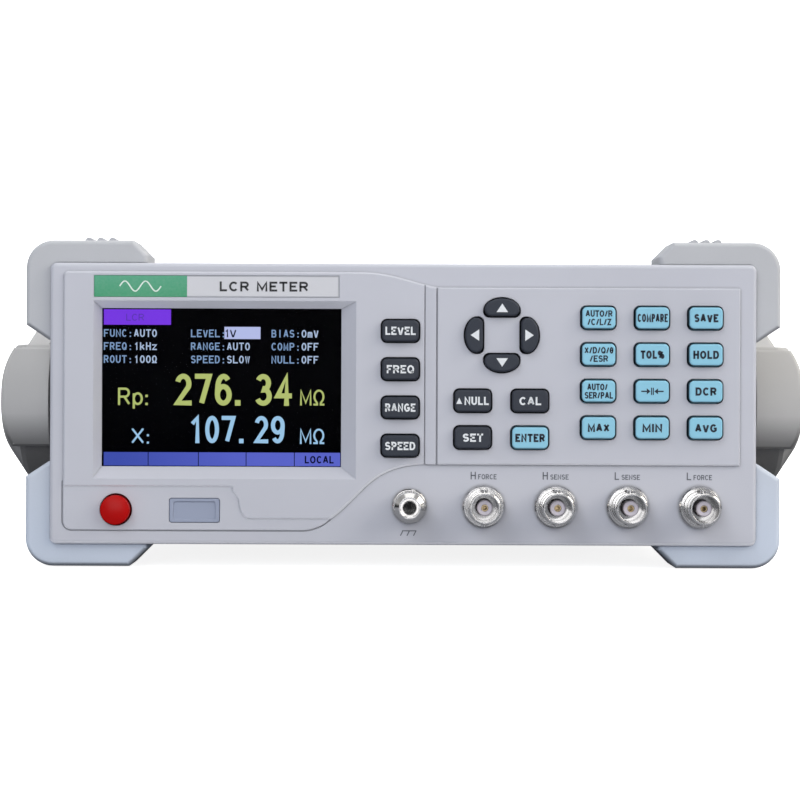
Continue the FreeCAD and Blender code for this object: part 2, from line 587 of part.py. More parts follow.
# ---------------------------------------------------------------- sleeve, rear panel, tray
def case_sleeve():
    """Open tube with side and bottom vents and a hole for each pivot boss."""
    sleeve = case_prism(SLEEVE_HALF_X, SLEEVE_HALF_Z, 2.6, Y_SLEEVE0, Y_SLEEVE1)
    sleeve = sleeve.cut(case_prism(SLEEVE_HALF_X - SLEEVE_T, SLEEVE_HALF_Z - SLEEVE_T, 1.4,
                                   Y_SLEEVE0 - 1, Y_SLEEVE1 + 1))
    x_in, x_out = SLEEVE_HALF_X - 3, SLEEVE_HALF_X + 2
    z_floor = CASE_Z - SLEEVE_HALF_Z
    vents = []
    for i in range(12):
        y = 60.0 + 7.0 * i
        for x0, x1 in ((-x_out, -x_in), (x_in, x_out)):
            vents.append(box(x0, x1, y, y + 2.6, CASE_Z - 22, CASE_Z + 6))
    for i in range(10):
        y = -60.0 + 9.0 * i
        vents.append(box(-50.0, 50.0, y, y + 3.0, z_floor - 1, z_floor + 3))
    return sleeve.cut(vents + [pivot_cyl(12.1, -120, -90), pivot_cyl(12.1, 90, 120)])


def rear_panel():
    """Panel with connector openings, 9 by 3 vent slots and screw holes."""
    cuts = [rounded_at(INLET_X, INLET_Z, 13.8, 15.2, 1.0, *PANEL_CUT),
            rounded_at(SERIAL_X, SERIAL_Z, 9.6, 5.4, 1.5, *PANEL_CUT)]
    cuts += cyls_y(SERIAL_SCREWS, 1.6, *PANEL_CUT)
    cuts.append(rounded_at(USB_X, USB_Z, 6.2, 5.7, 0.6, *PANEL_CUT))
    for i in range(9):
        for j in range(3):
            x, z = -78.0 + 12.0 * i, CASE_Z + 8.0 + 8.0 * j
            cuts.append(rounded(x, x + 8.0, z, z + 3.0, 1.45, *PANEL_CUT))
    cuts += cyls_y(PANEL_SCREWS, 1.7, *PANEL_CUT)
    return case_prism(105.0, 40.0, 1.2, Y_PANEL0, Y_PANEL1).cut(cuts)


def chassis_tray():
    """Floor, two side walls and a rear wall with an upright tab on each side."""
    half_x, z0 = 100.0, CASE_Z - 39.6
    y_run = (-134.0, 169.0)
    y_wall = (168.6, 169.8)
    tray = fuse([box(-half_x, half_x, *y_run, z0, CASE_Z - 38.4),
                 box(-half_x, -98.8, *y_run, z0, CASE_Z - 20.0),
                 box(98.8, half_x, *y_run, z0, CASE_Z - 20.0),
                 box(-half_x, half_x, *y_wall, z0, CASE_Z - 34.0)])
    for x0, x1 in ((-104, -92), (92, 104)):
        tray = fuse([tray, box(x0, x1, *y_wall, CASE_Z - 39.0, CASE_Z + 36.0)])
    return tray.cut(cyls_y(PANEL_SCREWS, 1.25, 166, 172))


# ---------------------------------------------------------------- rear connectors
def mains_inlet():
    """Inlet housing with its three blades, and a pocket for the fuse drawer below."""
    housing = rounded_at(INLET_X, INLET_Z, 13.5, 15.0, 0.8, 156.0, 172.3)
    flange = rounded_at(INLET_X, INLET_Z, 15.5, 17.0, 2.0, 172.1, 174.9)
    housing = fuse([housing, soften(flange, 174.9, 0.7)])
    socket = rounded(INLET_X - 12.0, INLET_X + 12.0, INLET_Z - 2.2, INLET_Z + 14.0, 2.6,
                     159.0, 176)
    pocket = rounded(INLET_X - 11.2, INLET_X + 11.2, INLET_Z - 13.6, INLET_Z - 4.4, 0.8,
                     159.0, 176)
    housing = housing.cut([socket, pocket])
    # blades: x and z of the centre from the inlet centre, y of the tip
    blades = ((-7.0, 4.2, 168.5), (7.0, 4.2, 168.5), (0.0, 8.6, 169.5))

    def blade(x, z, y0, y1):
        return bar_y(INLET_X + x, INLET_Z + z, 1.0, 2.0, y0, y1)

    housing = housing.cut([blade(x, z, 156.5, 159.5) for x, z, tip in blades])
    return [housing] + [blade(x, z, 157.0, tip) for x, z, tip in blades]


def fuse_drawer():
    z = INLET_Z - 9.0
    drawer = soften(rounded_at(INLET_X, z, 11.0, 4.4, 0.7, 159.4, 175.6), 175.6, 0.5)
    return drawer.cut(rounded_at(INLET_X, z, 3.0, 1.2, 0.5, 174.6, 177))


def serial_d(inset, y0, y1):
    """D-shaped prism, wider at the top, inset from the outside of the serial shell."""
    top, bottom, high = 16.9 / 2 - inset, 15.3 / 2 - inset, 8.3 / 2 - inset
    corners = ((-top, high), (top, high), (bottom, -high), (-bottom, -high))
    solid = polygon_prism([Vec(SERIAL_X + x, y0, SERIAL_Z + z) for x, z in corners],
                          Vec(0, y1 - y0, 0))
    edges = [e for e in solid.Edges if abs(e.tangentAt(e.FirstParameter).y) > 0.99]
    return solid.makeFillet(1.6, edges)


def serial_port():
    """Nine-pin connector: flanged shell, core, two hex standoffs and the pins."""
    pitch, row_z = 2.77, 1.42
    flange = rounded_at(SERIAL_X, SERIAL_Z, 15.4, 6.2, 1.5, 172.1, 172.9)
    shell = serial_d(0.0, 172.5, 177.0).cut(serial_d(0.5, 171.0, 178.0))
    core = serial_d(0.55, 168.0, 174.0)
    flange = flange.cut([serial_d(0.5, 171.0, 178.0)] + cyls_y(SERIAL_SCREWS, 1.6, 171, 174))
    standoffs = []
    for x, z in SERIAL_SCREWS:
        head = hex_y(x, z, 4.8, 172.95, 176.4, turn=30).cut(cyl_y(x, z, 1.2, 174.0, 177))
        standoffs.append(fuse([head, cyl_y(x, z, 1.5, 167.0, 173.0)]))
    points = [(SERIAL_X + pitch * (i - 2), SERIAL_Z + row_z) for i in range(5)]
    points += [(SERIAL_X + pitch * (i - 1.5), SERIAL_Z - row_z) for i in range(4)]
    return [fuse([flange, shell]), core] + standoffs + cyls_y(points, 0.5, 174.0, 176.4)


def usb_port():
    shell = rounded_at(USB_X, USB_Z, 6.0, 5.5, 0.5, 158.0, 172.6)
    shell = shell.cut(bar_y(USB_X, USB_Z, 4.4, 4.0, 161.0, 174.0))
    return fuse([shell, bar_y(USB_X, USB_Z, 2.8, 1.6, 160.5, 170.5)])


# ---------------------------------------------------------------- internals
def main_board():
    """Board with heat sink, capacitors, relays, chips and a screening can."""
    board = box(-92.0, 40.0, -110.0, 120.0, Z_BOARD0, Z_BOARD1)
    board = board.cut([cyl_z(x, y, 1.7, CASE_Z - 31, CASE_Z - 27) for x, y in MAIN_BOARD_HOLES])

    def mounted(x0, x1, y0, y1, top):
        return box(x0, x1, y0, y1, Z_MOUNT, CASE_Z + top)

    fins = [mounted(-78.0, -66.0, 42.0 + 8 * i, 44.0 + 8 * i, 2.0) for i in range(8)]
    heat_sink = fuse([mounted(-84.0, -78.0, 40.0, 100.0, 2.0)] + fins)
    capacitors = [cyl_z(-50 + 20 * i, 90.0, 8.0, Z_MOUNT, CASE_Z - 4.0) for i in range(3)]
    relays = [mounted(-80 + 24 * i, -62 + 24 * i, -92.0, -80.0, -17.0) for i in range(4)]
    chips = [mounted(-60, -38, -20, 2, -26.0),
             mounted(-10, 8, -40, -24, -26.0),
             mounted(-10, 4, 20, 34, -26.0)]
    can = mounted(-30, 24, -72, -48, -18.0)
    return [board, heat_sink] + capacitors + relays + chips + [can]


def transformer():
    """Core with two windows, and the closed coil passing through them."""
    core = box(52.0, 92.0, 40.0, 98.0, CASE_Z - 36.0, CASE_Z + 10.0)
    core = core.cut([box(50.0, 94.0, y0, y1, CASE_Z - 26.0, CASE_Z)
                     for y0, y1 in ((48.0, 62.0), (76.0, 90.0))])
    coil_z = (CASE_Z - 24.5, CASE_Z - 1.5)
    coil = box(46.0, 98.0, 50.0, 61.0, *coil_z).fuse(box(46.0, 98.0, 77.0, 88.0, *coil_z))
    coil = fuse([coil, box(44.0, 51.5, 50.0, 88.0, *coil_z),
                 box(92.5, 98.4, 50.0, 88.0, *coil_z)])
    return core.cut(coil), coil


def keypad_ribbon():
    """One bent strip from the keypad board down to the main board."""
    thick, width = 0.9, 22.0
    # middle line of the strip: y, z from its front end
    path = [(-157.2, 0.0), (-150.0, 0.0), (-118.0, -25.5), (-100.0, -25.5)]
    upper, lower = [], []
    for i, (y, z) in enumerate(path):
        before = path[max(i - 1, 0)]
        after = path[min(i + 1, len(path) - 1)]
        dy, dz = after[0] - before[0], after[1] - before[1]
        length = math.hypot(dy, dz)
        off_y, off_z = -dz / length * thick / 2, dy / length * thick / 2
        upper.append((y + off_y, z + off_z))
        lower.append((y - off_y, z - off_z))
    points = [Vec(4.0, y, CASE_Z - 2.0 + z) for y, z in upper + lower[::-1]]
    return polygon_prism(points, Vec(width, 0, 0))


# ---------------------------------------------------------------- bumpers
def lobe_wire(side, level):
    """Corner lobe outline; side is -1 left or 1 right, level -1 bottom or 1 top."""
    bevel_x = 78.5
    inset = BUMPER_R * (1 - math.sqrt(0.5))
    end = 24.0 if level > 0 else 22.5
    foot = 4.4 if level > 0 else 5.4
    wide, high = BUMPER_HALF_X, BUMPER_HALF_Z
    runs = [
        ("line", [(bevel_x, GRASP_Z), (bevel_x, high - foot), (bevel_x + foot, high),
                  (wide - BUMPER_R, high)]),
        ("arc", [(wide - BUMPER_R, high), (wide - inset, high - inset),
                 (wide, high - BUMPER_R)]),
        ("line", [(wide, high - BUMPER_R), (wide, end), (108.8, end - 4.6),
                  (GRASP_X, end - 4.6), (GRASP_X, GRASP_Z), (bevel_x, GRASP_Z)]),
    ]
    return outline([(kind, [(side * x, level * z) for x, z in points])
                    for kind, points in runs])


def is_outer_edge(edge):
    """True for the longer edges of a lobe that are clear of the sleeve."""
    reach_x = max(abs(v.Point.x) for v in edge.Vertexes)
    reach_z = max(abs(v.Point.z - CASE_Z) for v in edge.Vertexes)
    centre = edge.CenterOfMass
    on_sleeve = (abs(abs(centre.x) - GRASP_X) < 0.01
                 or abs(abs(centre.z - CASE_Z) - GRASP_Z) < 0.01)
    return (reach_x > 107 or reach_z > 42) and not on_sleeve and edge.Length > 3.0


def bumper_lobes(y0):
    """Four corner lobes; the top ones carry three round ribs each."""
    y1 = y0 + BUMPER_DEPTH
    lobes = []
    for side in (-1, 1):
        for level in (-1, 1):
            lobe = prism(lobe_wire(side, level), y0, y1)
            for y in (y0, y1):
                lobe = ease(lobe, [e for e in edges_on_y(lobe, y) if is_outer_edge(e)], (1.4,))
            if level > 0:
                for x in (89.6, 93.2, 96.8):
                    lobe = lobe.fuse(cyl_y(side * x, CASE_Z + BUMPER_HALF_Z - 0.15, 1.15,
                                           y0 + 2.5, y1 - 2.5))
            lobes.append(lobe)
    return lobes


def ring(outer, inner, y0, y1):
    """Rectangular ring round the case; outer and inner are (half x, half z, radius)."""
    return case_prism(*outer, y0, y1).cut(case_prism(*inner, y0 - 1, y1 + 1))


def front_bumper():
    y_step = Y_FACE + BEZEL_FLANGE + 0.1      # just behind the bezel flange
    bore = (GRASP_X, GRASP_Z, 2.6)
    strap = ring((107.95, 42.95, 3.9), bore, y_step, Y_FRONT_BUMPER + 19.0)
    bumper = fuse(bumper_lobes(Y_FRONT_BUMPER) + [strap])
    bumper = bumper.cut(case_prism(BEZEL_HALF_X + 0.15, BEZEL_HALF_Z + 0.15, 2.1,
                                   Y_FACE - 2, y_step))
    return bumper.cut(case_prism(*bore, Y_FACE - 2, Y_FRONT_BUMPER + 60))


def rear_bumper():
    """Rear bumper, with a lip that overlaps the rear panel."""
    y_lip = Y_PANEL1 + 0.15
    outer, bore = (108.4, 43.4, 4.2), (GRASP_X, GRASP_Z, 2.6)
    opening = (102.5, 37.5, 2.0)
    strap = ring(outer, bore, Y_REAR_BUMPER + 4.0, Y_REAR)
    lip = ring(outer, opening, y_lip, Y_REAR)
    bumper = fuse(bumper_lobes(Y_REAR_BUMPER) + [strap, lip])
    bumper = bumper.cut(case_prism(*bore, 100, y_lip))
    return bumper.cut(case_prism(*opening, 160, 190))


# ---------------------------------------------------------------- handle pivot
def pivot_boss():
    """Right boss: drum on the case side, spigot into the sleeve, and hollow axle."""
    boss = fuse([pivot_cyl(HUB_CORE_R, GRASP_X, 111.6), pivot_cyl(12.0, 103.2, 107.0),
                 pivot_cyl(AXLE_R, 110.0, 124.0)])
    return boss.cut(pivot_cyl(2.5, 108.0, 125.0))


def pivot_screw():
    """Right pivot screw: shank, wide washer head and a cross recess in the raised centre."""
    screw = fuse([pivot_cyl(2.45, 109.0, 125.0), pivot_cyl(12.4, 124.06, 125.1),
                  pivot_cyl(5.0, 125.0, 126.4)])
    return screw.cut([box(125.6, 128.0, PIVOT_Y - half_y, PIVOT_Y + half_y,
                          CASE_Z - half_z, CASE_Z + half_z)
                      for half_y, half_z in ((3.2, 0.5), (0.5, 3.2))])


def domed_disc():
    """Right disc turned about the pivot axis: conical skirt below a domed crown."""
    slope = 0.69              # mm of width per mm of radius on the skirt
    # half section: x, radius
    crown = [Vec(128.6, 17.0, 0), Vec(130.7, 13.0, 0), Vec(131.75, 8.0, 0), Vec(X_DOME, 0.0, 0)]
    points = [Vec(X_DISC, 0, 0), Vec(X_DISC, HUB_R - 1.2, 0), Vec(X_DISC + 1.2, HUB_R, 0),
              Vec(128.6 - slope * (HUB_R - 17.0) - 0.9, HUB_R, 0),
              Vec(128.6 - slope * (HUB_R - 18.2), HUB_R - 1.2, 0), crown[0]]
    edges = [line(a, b) for a, b in zip(points, points[1:])]
    edges.append(spline(crown, Vec(slope, -1, 0), Vec(0, -1, 0)))
    edges.append(line(crown[-1], points[0]))
    section = Part.Face(Part.Wire(Part.__sortEdges__(edges)))
    disc = section.revolve(Vec(0, 0, 0), Vec(1, 0, 0), 360)
    disc.translate(Vec(0, PIVOT_Y, CASE_Z))
    return disc


def hub_cap():
    """Centre of the dome, closing the screw well."""
    return domed_disc().common(pivot_cyl(12.85, 126.6, 140))


# ---------------------------------------------------------------- handle arm and grip
def arm_hub():
    """Domed disc cut off level on its upper side."""
    hub = domed_disc().common(
        box(100, 140, PIVOT_Y - 40, PIVOT_Y + 40, CASE_Z - 40, CASE_Z + HUB_FLAT))
    edges = [e for e in hub.Edges if abs(e.CenterOfMass.z - CASE_Z - HUB_FLAT) < 1e-3
             and e.CenterOfMass.x > X_DISC + 0.5]
    return ease(hub, edges, (1.0, 0.6), share=0.95)


def arm_nose():
    """Nose in front of the disc, between two planes level while the handle is folded."""
    x_in, low, high = X_DISC + 0.8, -14.2, 17.4
    # outer side, upwards: x, z above the centre line
    bulge = [(125.0, low), (127.2, -8.5), (128.0, 0.5), (127.6, 9.0), (124.8, high)]
    bulge = [Vec(x, 0, CASE_Z + z) for x, z in bulge]
    bottom, top = Vec(x_in, 0, CASE_Z + low), Vec(x_in, 0, CASE_Z + high)
    wire = Part.Wire([line(top, bottom), line(bottom, bulge[0]), spline(bulge),
                      line(bulge[-1], top)])
    nose = prism(wire, PIVOT_Y - 34.0, PIVOT_Y - 2.0).common(pivot_cyl(NOSE_R, 100, 140))
    edges = [e for e in nose.Edges if e.CenterOfMass.x > 118.0
             and e.CenterOfMass.y < PIVOT_Y - 25.0 and e.Length > 20]
    edges += [e for e in nose.Edges if abs(e.tangentAt(e.FirstParameter).x) > 0.9
              and e.CenterOfMass.y < PIVOT_Y - 20.0]
    return ease(nose, edges, (1.5, 1.0), share=0.85)


def along_arm(reach, across):
    """(y, z) at reach along the folded arm from the pivot, across square to it."""
    cosine, sine = math.cos(HANDLE_ANGLE), math.sin(HANDLE_ANGLE)
    return (PIVOT_Y + reach * cosine - across * sine, CASE_Z + reach * sine + across * cosine)


GRIP_Y, GRIP_Z = along_arm(HANDLE_L, 0.0)


def arm_bar():
    """Arm from hub to grip, tapering, ending in the elbow beside the grip."""
    under, over = GRIP_Z - GRIP_T / 2, GRIP_Z + GRIP_T / 2
    profile = [along_arm(4, 14.6), along_arm(60, 12.4), along_arm(124, 10.6),
               (GRIP_Y - 15.5, over), (GRIP_Y + 8.0, over), (GRIP_Y + 11.5, over - 3.5),
               (GRIP_Y + 11.5, under + 3.5), (GRIP_Y + 8.0, under), (GRIP_Y + 1.0, under),
               along_arm(124, -11.0), along_arm(60, -12.4), along_arm(4, -14.2)]
    arm = polygon_prism([Vec(X_ARM0, y, z) for y, z in profile], Vec(X_ARM1 - X_ARM0, 0, 0))
    edges = [e for e in arm.Edges if all(abs(v.Point.x - X_ARM1) < 1e-4 for v in e.Vertexes)
             and e.Length > 20 and e.CenterOfMass.y > PIVOT_Y + 12]
    return ease(arm, edges, (3.0, 2.0), one_solid=True)


def grip_bar(x0, x1, width, thick):
    """Rounded bar along X on the grip axis."""
    wire = wire_rounded(width, thick, thick / 2 - 0.3)
    wire.rotate(Vec(0, 0, 0), Vec(1, 0, 0), 90)       # XY -> XZ
    wire.rotate(Vec(0, 0, 0), Vec(0, 0, 1), 90)       # XZ -> YZ
    wire.translate(Vec(x0, GRIP_Y, GRIP_Z))
    return Part.Face(wire).extrude(Vec(x1 - x0, 0, 0))


def handle_arm():
    """Right arm: hub, nose, bar, elbow and the tenon that enters the grip."""
    elbow = grip_bar(96.0, X_ELBOW, GRIP_W, GRIP_T)
    edges = [e for e in elbow.Edges
             if all(abs(v.Point.x - X_ELBOW) < 1e-3 for v in e.Vertexes)]
    elbow = ease(elbow, edges, (4.6,))
    tenon = grip_bar(88.0, 97.0, GRIP_W - 8.0, GRIP_T - 5.0)
    arm = fuse([arm_hub(), arm_nose(), arm_bar(), elbow, tenon])
    return arm.cut([pivot_cyl(AXLE_R + RUN, 100, 140), pivot_cyl(13.0, 124.0, 140)])


def handle_grip():
    """Grip with a socket in each end and eleven shallow grooves round it."""
    grip = grip_bar(-95.8, 95.8, GRIP_W, GRIP_T)
    socket = grip_bar(87.0, 97.0, GRIP_W - 7.8, GRIP_T - 4.8)
    grip = grip.cut([socket, mirror_x(socket)])
    grooves = []
    for i in range(11):
        x = -60.0 + 12 * i
        band = grip_bar(x - 0.6, x + 0.6, GRIP_W + 4, GRIP_T + 4)
        grooves.append(band.cut(grip_bar(x - 2, x + 2, GRIP_W - 0.9, GRIP_T - 0.9)))
    return grip.cut(grooves)


# ---------------------------------------------------------------- screws
def panel_screw(x, z):
    """Round-headed screw with a cross recess, from the rear."""
    head = soften(cyl_y(x, z, 2.9, 172.02, 173.8), 173.8, 0.6)
    screw = fuse([cyl_y(x, z, 1.2, 167.0, 173.0), head])
    return screw.cut([bar_y(x, z, 1.8, 0.3, 173.0, 175.0), bar_y(x, z, 0.3, 1.8, 173.0, 175.0)])


def board_fixings():
    """Main board standoffs, then the keypad board and display carrier screws."""
    fixings = [fuse([cyl_z(x, y, 3.0, CASE_Z - 38.35, Z_BOARD0 - 0.05),
                     cyl_z(x, y, 1.5, CASE_Z - 30.2, CASE_Z - 27.6),
                     cyl_z(x, y, 2.8, Z_BOARD1 + 0.05, CASE_Z - 26.8)])
               for x, y in MAIN_BOARD_HOLES]
    fixings += [fuse([cyl_y(x, z, 0.95, Y_BOARD - 2.4, Y_BOARD + 2.0),
                      cyl_y(x, z, 2.2, Y_BOARD + 1.7, Y_BOARD + 3.1)])
                for x, z in BOARD_POINTS]
    fixings += [fuse([cyl_y(x, z, 0.85, Y_INNER + 2.0, Y_INNER + 7.3),
                      cyl_y(x, z, 2.5, Y_INNER + 7.05, Y_INNER + 8.4)])
                for x, z in LCD_POINTS]
    return fixings


# ---------------------------------------------------------------- build
for key in KEYS:
    save("key_" + key[0], make_key(key))
for name, x in zip(("h_force", "h_sense", "l_sense", "l_force"), JACK_X):
    save("jack_" + name, jack(x))
save("jack_insulators", *[jack_insulator(x) for x in JACK_X])
save("jack_contacts", *[jack_contact(x) for x in JACK_X])

for build in (front_bezel, label_strip, display_window, port_cover, power_button,
              power_switch, ground_post, keypad_mat, keypad_board, case_sleeve, rear_panel,
              chassis_tray, fuse_drawer, usb_port, keypad_ribbon, front_bumper, rear_bumper,
              handle_grip):
    save(build.__name__, build())
for build in (display_module, terminal_nuts, mains_inlet, serial_port, main_board,
              transformer, board_fixings):
    save(build.__name__, *build())

arm_right = handle_arm()
save("handle_arm_right", arm_right)
save("handle_arm_left", mirror_x(arm_right))
for name, build in (("pivot_bosses", pivot_boss), ("hub_caps", hub_cap)):
    right = build()
    save(name, right, mirror_x(right))
screw_right = pivot_screw()
save("case_screws", *[panel_screw(x, z) for x, z in PANEL_SCREWS],
     screw_right, mirror_x(screw_right))
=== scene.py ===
# A bench LCR meter: a boxy instrument with rubber bumpers, a handle, keys, jacks and a lit display.
# It stands on the floor near Z = 0 with its front panel facing -Y, X to the right and Z up.
# Blender lengths are metres; legends and the display picture are laid out in millimetres.
import json
import math
from functools import cached_property

import bpy
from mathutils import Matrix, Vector


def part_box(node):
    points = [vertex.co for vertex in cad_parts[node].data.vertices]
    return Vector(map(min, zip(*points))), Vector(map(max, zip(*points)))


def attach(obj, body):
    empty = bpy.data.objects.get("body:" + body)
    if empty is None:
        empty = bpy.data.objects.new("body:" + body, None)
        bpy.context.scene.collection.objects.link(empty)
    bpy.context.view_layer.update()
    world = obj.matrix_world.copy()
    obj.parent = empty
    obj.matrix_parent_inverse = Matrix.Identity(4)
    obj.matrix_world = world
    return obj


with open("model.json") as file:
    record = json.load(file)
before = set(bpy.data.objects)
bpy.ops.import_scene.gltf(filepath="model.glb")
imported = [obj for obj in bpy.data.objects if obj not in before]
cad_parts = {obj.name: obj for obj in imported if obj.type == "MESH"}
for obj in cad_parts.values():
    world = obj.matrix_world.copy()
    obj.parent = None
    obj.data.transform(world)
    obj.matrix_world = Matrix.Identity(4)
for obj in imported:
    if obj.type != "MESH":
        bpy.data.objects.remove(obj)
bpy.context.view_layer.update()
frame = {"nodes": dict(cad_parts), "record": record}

MM = 0.001
FRONT_Y = -165.0            # mm, plane of the front panel that carries the jack legends
scene = bpy.context.scene
slot_of = {part["node"]: part["material_slot"] for part in frame["record"]["subparts"]}


def centre(name):
    """Middle of a CAD piece in X and Z, with its frontmost Y, in mm."""
    low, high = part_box(name)
    return (low[0] + high[0]) / 2 / MM, low[1] / MM, (low[2] + high[2]) / 2 / MM


# ------------------------------------------------------------------ colours and node graphs
def srgb(*channels):
    """Linear RGBA from sRGB channels in 0..255."""
    def linear(value):
        value /= 255.0
        return value / 12.92 if value <= 0.04045 else ((value + 0.055) / 1.055) ** 2.4
    return tuple(linear(value) for value in channels) + (1.0,)


def tone(colour, gain, lift=0.0):
    """The colour scaled by gain and raised by lift."""
    return tuple(min(1.0, value * gain + lift) for value in colour[:3]) + (1.0,)


class Graph:
    """Short ways to add nodes; every value may be a constant or an output socket."""

    def __init__(self, tree):
        self.tree = tree

    def feed(self, socket, value):
        if isinstance(value, (int, float, tuple)):
            socket.default_value = value
        else:
            self.tree.links.new(value, socket)

    def node(self, kind, inputs=None, **properties):
        node = self.tree.nodes.new(kind)
        for key, value in properties.items():
            setattr(node, key, value)
        for key, value in (inputs or {}).items():
            self.feed(node.inputs[key], value)
        return node

    def math(self, operation, *values):
        return self.node("ShaderNodeMath", dict(enumerate(values)), operation=operation).outputs[0]

    def mix(self, factor, first, second):
        inputs = {0: factor, 6: first, 7: second}
        return self.node("ShaderNodeMix", inputs, data_type="RGBA").outputs[2]

    def remap(self, value, source, to=(0.0, 1.0)):
        """Map the source range linearly to another range, clamped."""
        inputs = {1: source[0], 2: source[1], 3: to[0], 4: to[1], 0: value}
        return self.node("ShaderNodeMapRange", inputs).outputs[0]

    def noise(self, scale, detail=2.0, rough=0.5, vector=None):
        inputs = {"Scale": scale, "Detail": detail, "Roughness": rough,
                  "Vector": vector or self.coord}
        return self.node("ShaderNodeTexNoise", inputs).outputs["Fac"]

    def split(self, vector):
        return self.node("ShaderNodeSeparateXYZ", {0: vector}).outputs

    @cached_property
    def coord(self):
        return self.node("ShaderNodeTexCoord").outputs["Object"]

    @cached_property
    def xyz(self):
        return self.split(self.coord)


class MaterialGraph(Graph):
    def __init__(self, name):
        self.material = bpy.data.materials.new(name)
        self.material.use_nodes = True
        super().__init__(self.material.node_tree)
        self.tree.nodes.clear()
        self.output = self.node("ShaderNodeOutputMaterial")

    def finish(self, shader):
        self.feed(self.output.inputs[0], shader.outputs[0])
        return self.material


# ------------------------------------------------------------------ solid materials
def occlusion(graph, samples, reach, source, strength):
    """Mask that is strongest in recesses within reach (m)."""
    near = graph.node("ShaderNodeAmbientOcclusion", {"Distance": reach}, samples=samples)
    return graph.math("MULTIPLY", graph.remap(near.outputs["AO"], source, to=(1.0, 0.0)), strength)


def surface(name, colour, *, grain, bump, rough=0.5, metal=0.0, spec=0.45, sheen=0.0,
            blotch=0.05, edge=0.35, edge_colour=None, radius=0.35, scratch=0.0,
            recess_shade=0.35, reach=0.0025, recess_shade_tone=0.30, crevice_shade=0.0, underside_shade=0.0, bounce=None,
            build=None):
    """Worn solid material with painted shade in hollows and on faces that look down.

    grain, bump: scale of the fine noise and strength of its relief
    blotch: depth of the slow colour patches; scratch: roughness streaks along X
    edge, edge_colour, radius: wear on edges, its colour, and edge rounding in mm
    recess_shade, reach, recess_shade_tone: painted shade in recesses, its reach in m and its darkness
    crevice_shade: painted shade in the narrowest gaps; underside_shade: painted shade on faces that
    look down
    bounce: colour of faces that look down, lit from the bench
    build: makes the base colour in place of the plain one
    """
    graph = MaterialGraph(name)
    paint = build(graph) if build else graph.mix(0.0, colour, colour)

    # slow blotches and fine grain
    slow = graph.noise(scale=14.0, detail=4.0, rough=0.6)
    value = graph.remap(slow, (0.35, 0.65), to=(1.0 - 2.0 * blotch, 1.0 + blotch * 0.5))
    paint = graph.node("ShaderNodeHueSaturation", {"Value": value, "Color": paint}).outputs[0]
    fine = graph.noise(scale=grain, detail=2.0, rough=0.55)
    speck = graph.remap(fine, (0.3, 0.7), to=(0.0, 0.06))
    paint = graph.mix(speck, paint, tone(colour, 1 - 2.2 * blotch))

    # worn edges, where the rounded normal leaves the true one
    rounded = graph.node("ShaderNodeBevel", {0: radius * MM}, samples=4).outputs[0]
    normal = graph.node("ShaderNodeNewGeometry").outputs["Normal"]
    dot = graph.node("ShaderNodeVectorMath", {0: rounded, 1: normal}, operation="DOT_PRODUCT")
    wear = graph.remap(dot.outputs["Value"], (0.995, 0.80))
    patchy = graph.noise(scale=180.0, detail=3.0, rough=0.6)
    wear = graph.math("MULTIPLY", wear, graph.remap(patchy, (0.38, 0.62), to=(0.15, 1.0)))
    paint = graph.mix(graph.math("MULTIPLY", wear, edge), paint,
                      edge_colour or tone(colour, 1.35, lift=0.03))

    # painted shade: recesses within reach are darkened
    if recess_shade:
        mask = occlusion(graph, samples=4, reach=reach, source=(0.25, 0.8), strength=recess_shade)
        paint = graph.mix(mask, paint, tone(colour, recess_shade_tone))
    # painted shade: faces that look down are darkened
    if underside_shade:
        mask = graph.remap(graph.split(normal)[2], (-0.12, -0.5))
        paint = graph.mix(graph.math("MULTIPLY", mask, underside_shade), paint, tone(colour, 0.10))
    if bounce:
        mask = graph.remap(graph.split(normal)[2], (-0.15, -0.55))
        paint = graph.mix(mask, paint, bounce)
    # painted shade: the narrowest gaps and steps are darkened into thin shadow lines
    if crevice_shade:
        mask = occlusion(graph, samples=6, reach=0.0009, source=(0.45, 0.92), strength=crevice_shade)
        paint = graph.mix(mask, paint, tone(colour, 0.42))

    smudges = graph.noise(scale=40.0, detail=3.0, rough=0.6)
    gloss = graph.math("ADD", graph.remap(smudges, (0.3, 0.7), to=(rough - 0.06, rough + 0.06)),
                       graph.remap(fine, (0.3, 0.7), to=(-0.03, 0.03)))
    if scratch:
        stretch = {0: graph.coord, "Scale": (18.0, 1400.0, 1400.0)}
        streaks = graph.noise(scale=1.0, detail=3.0, rough=0.6,
                              vector=graph.node("ShaderNodeMapping", stretch).outputs[0])
        gloss = graph.math("ADD", gloss, graph.remap(streaks, (0.3, 0.7), to=(-scratch, scratch)))

    relief = graph.node("ShaderNodeBump", {"Strength": bump, "Distance": 0.00006,
                                           "Height": fine, "Normal": rounded})
    return graph.finish(graph.node("ShaderNodeBsdfPrincipled", {
        "Base Color": paint, "Roughness": gloss, "Metallic": metal, "Specular IOR Level": spec,
        "Coat Roughness": 0.15, "Sheen Weight": sheen, "Normal": relief.outputs[0]}))


KEY_TOP = srgb(140, 200, 224)
# dark navy painted on the key sides as shade
KEY_SIDE_SHADE = srgb(24, 46, 62)
STRIP_SPLIT = -0.06605      # m, X where the green part of the label strip ends
STRIP_BORDER = 0.00035      # m, width of the outline of its grey part


def key_with_shaded_sides(graph):
    """Pale face towards the front; the sides painted dark navy as shade."""
    normal = graph.node("ShaderNodeNewGeometry").outputs["True Normal"]
    facing = graph.math("ABSOLUTE", graph.split(normal)[1])
    return graph.mix(graph.remap(facing, (0.25, 0.75)), KEY_SIDE_SHADE, KEY_TOP)


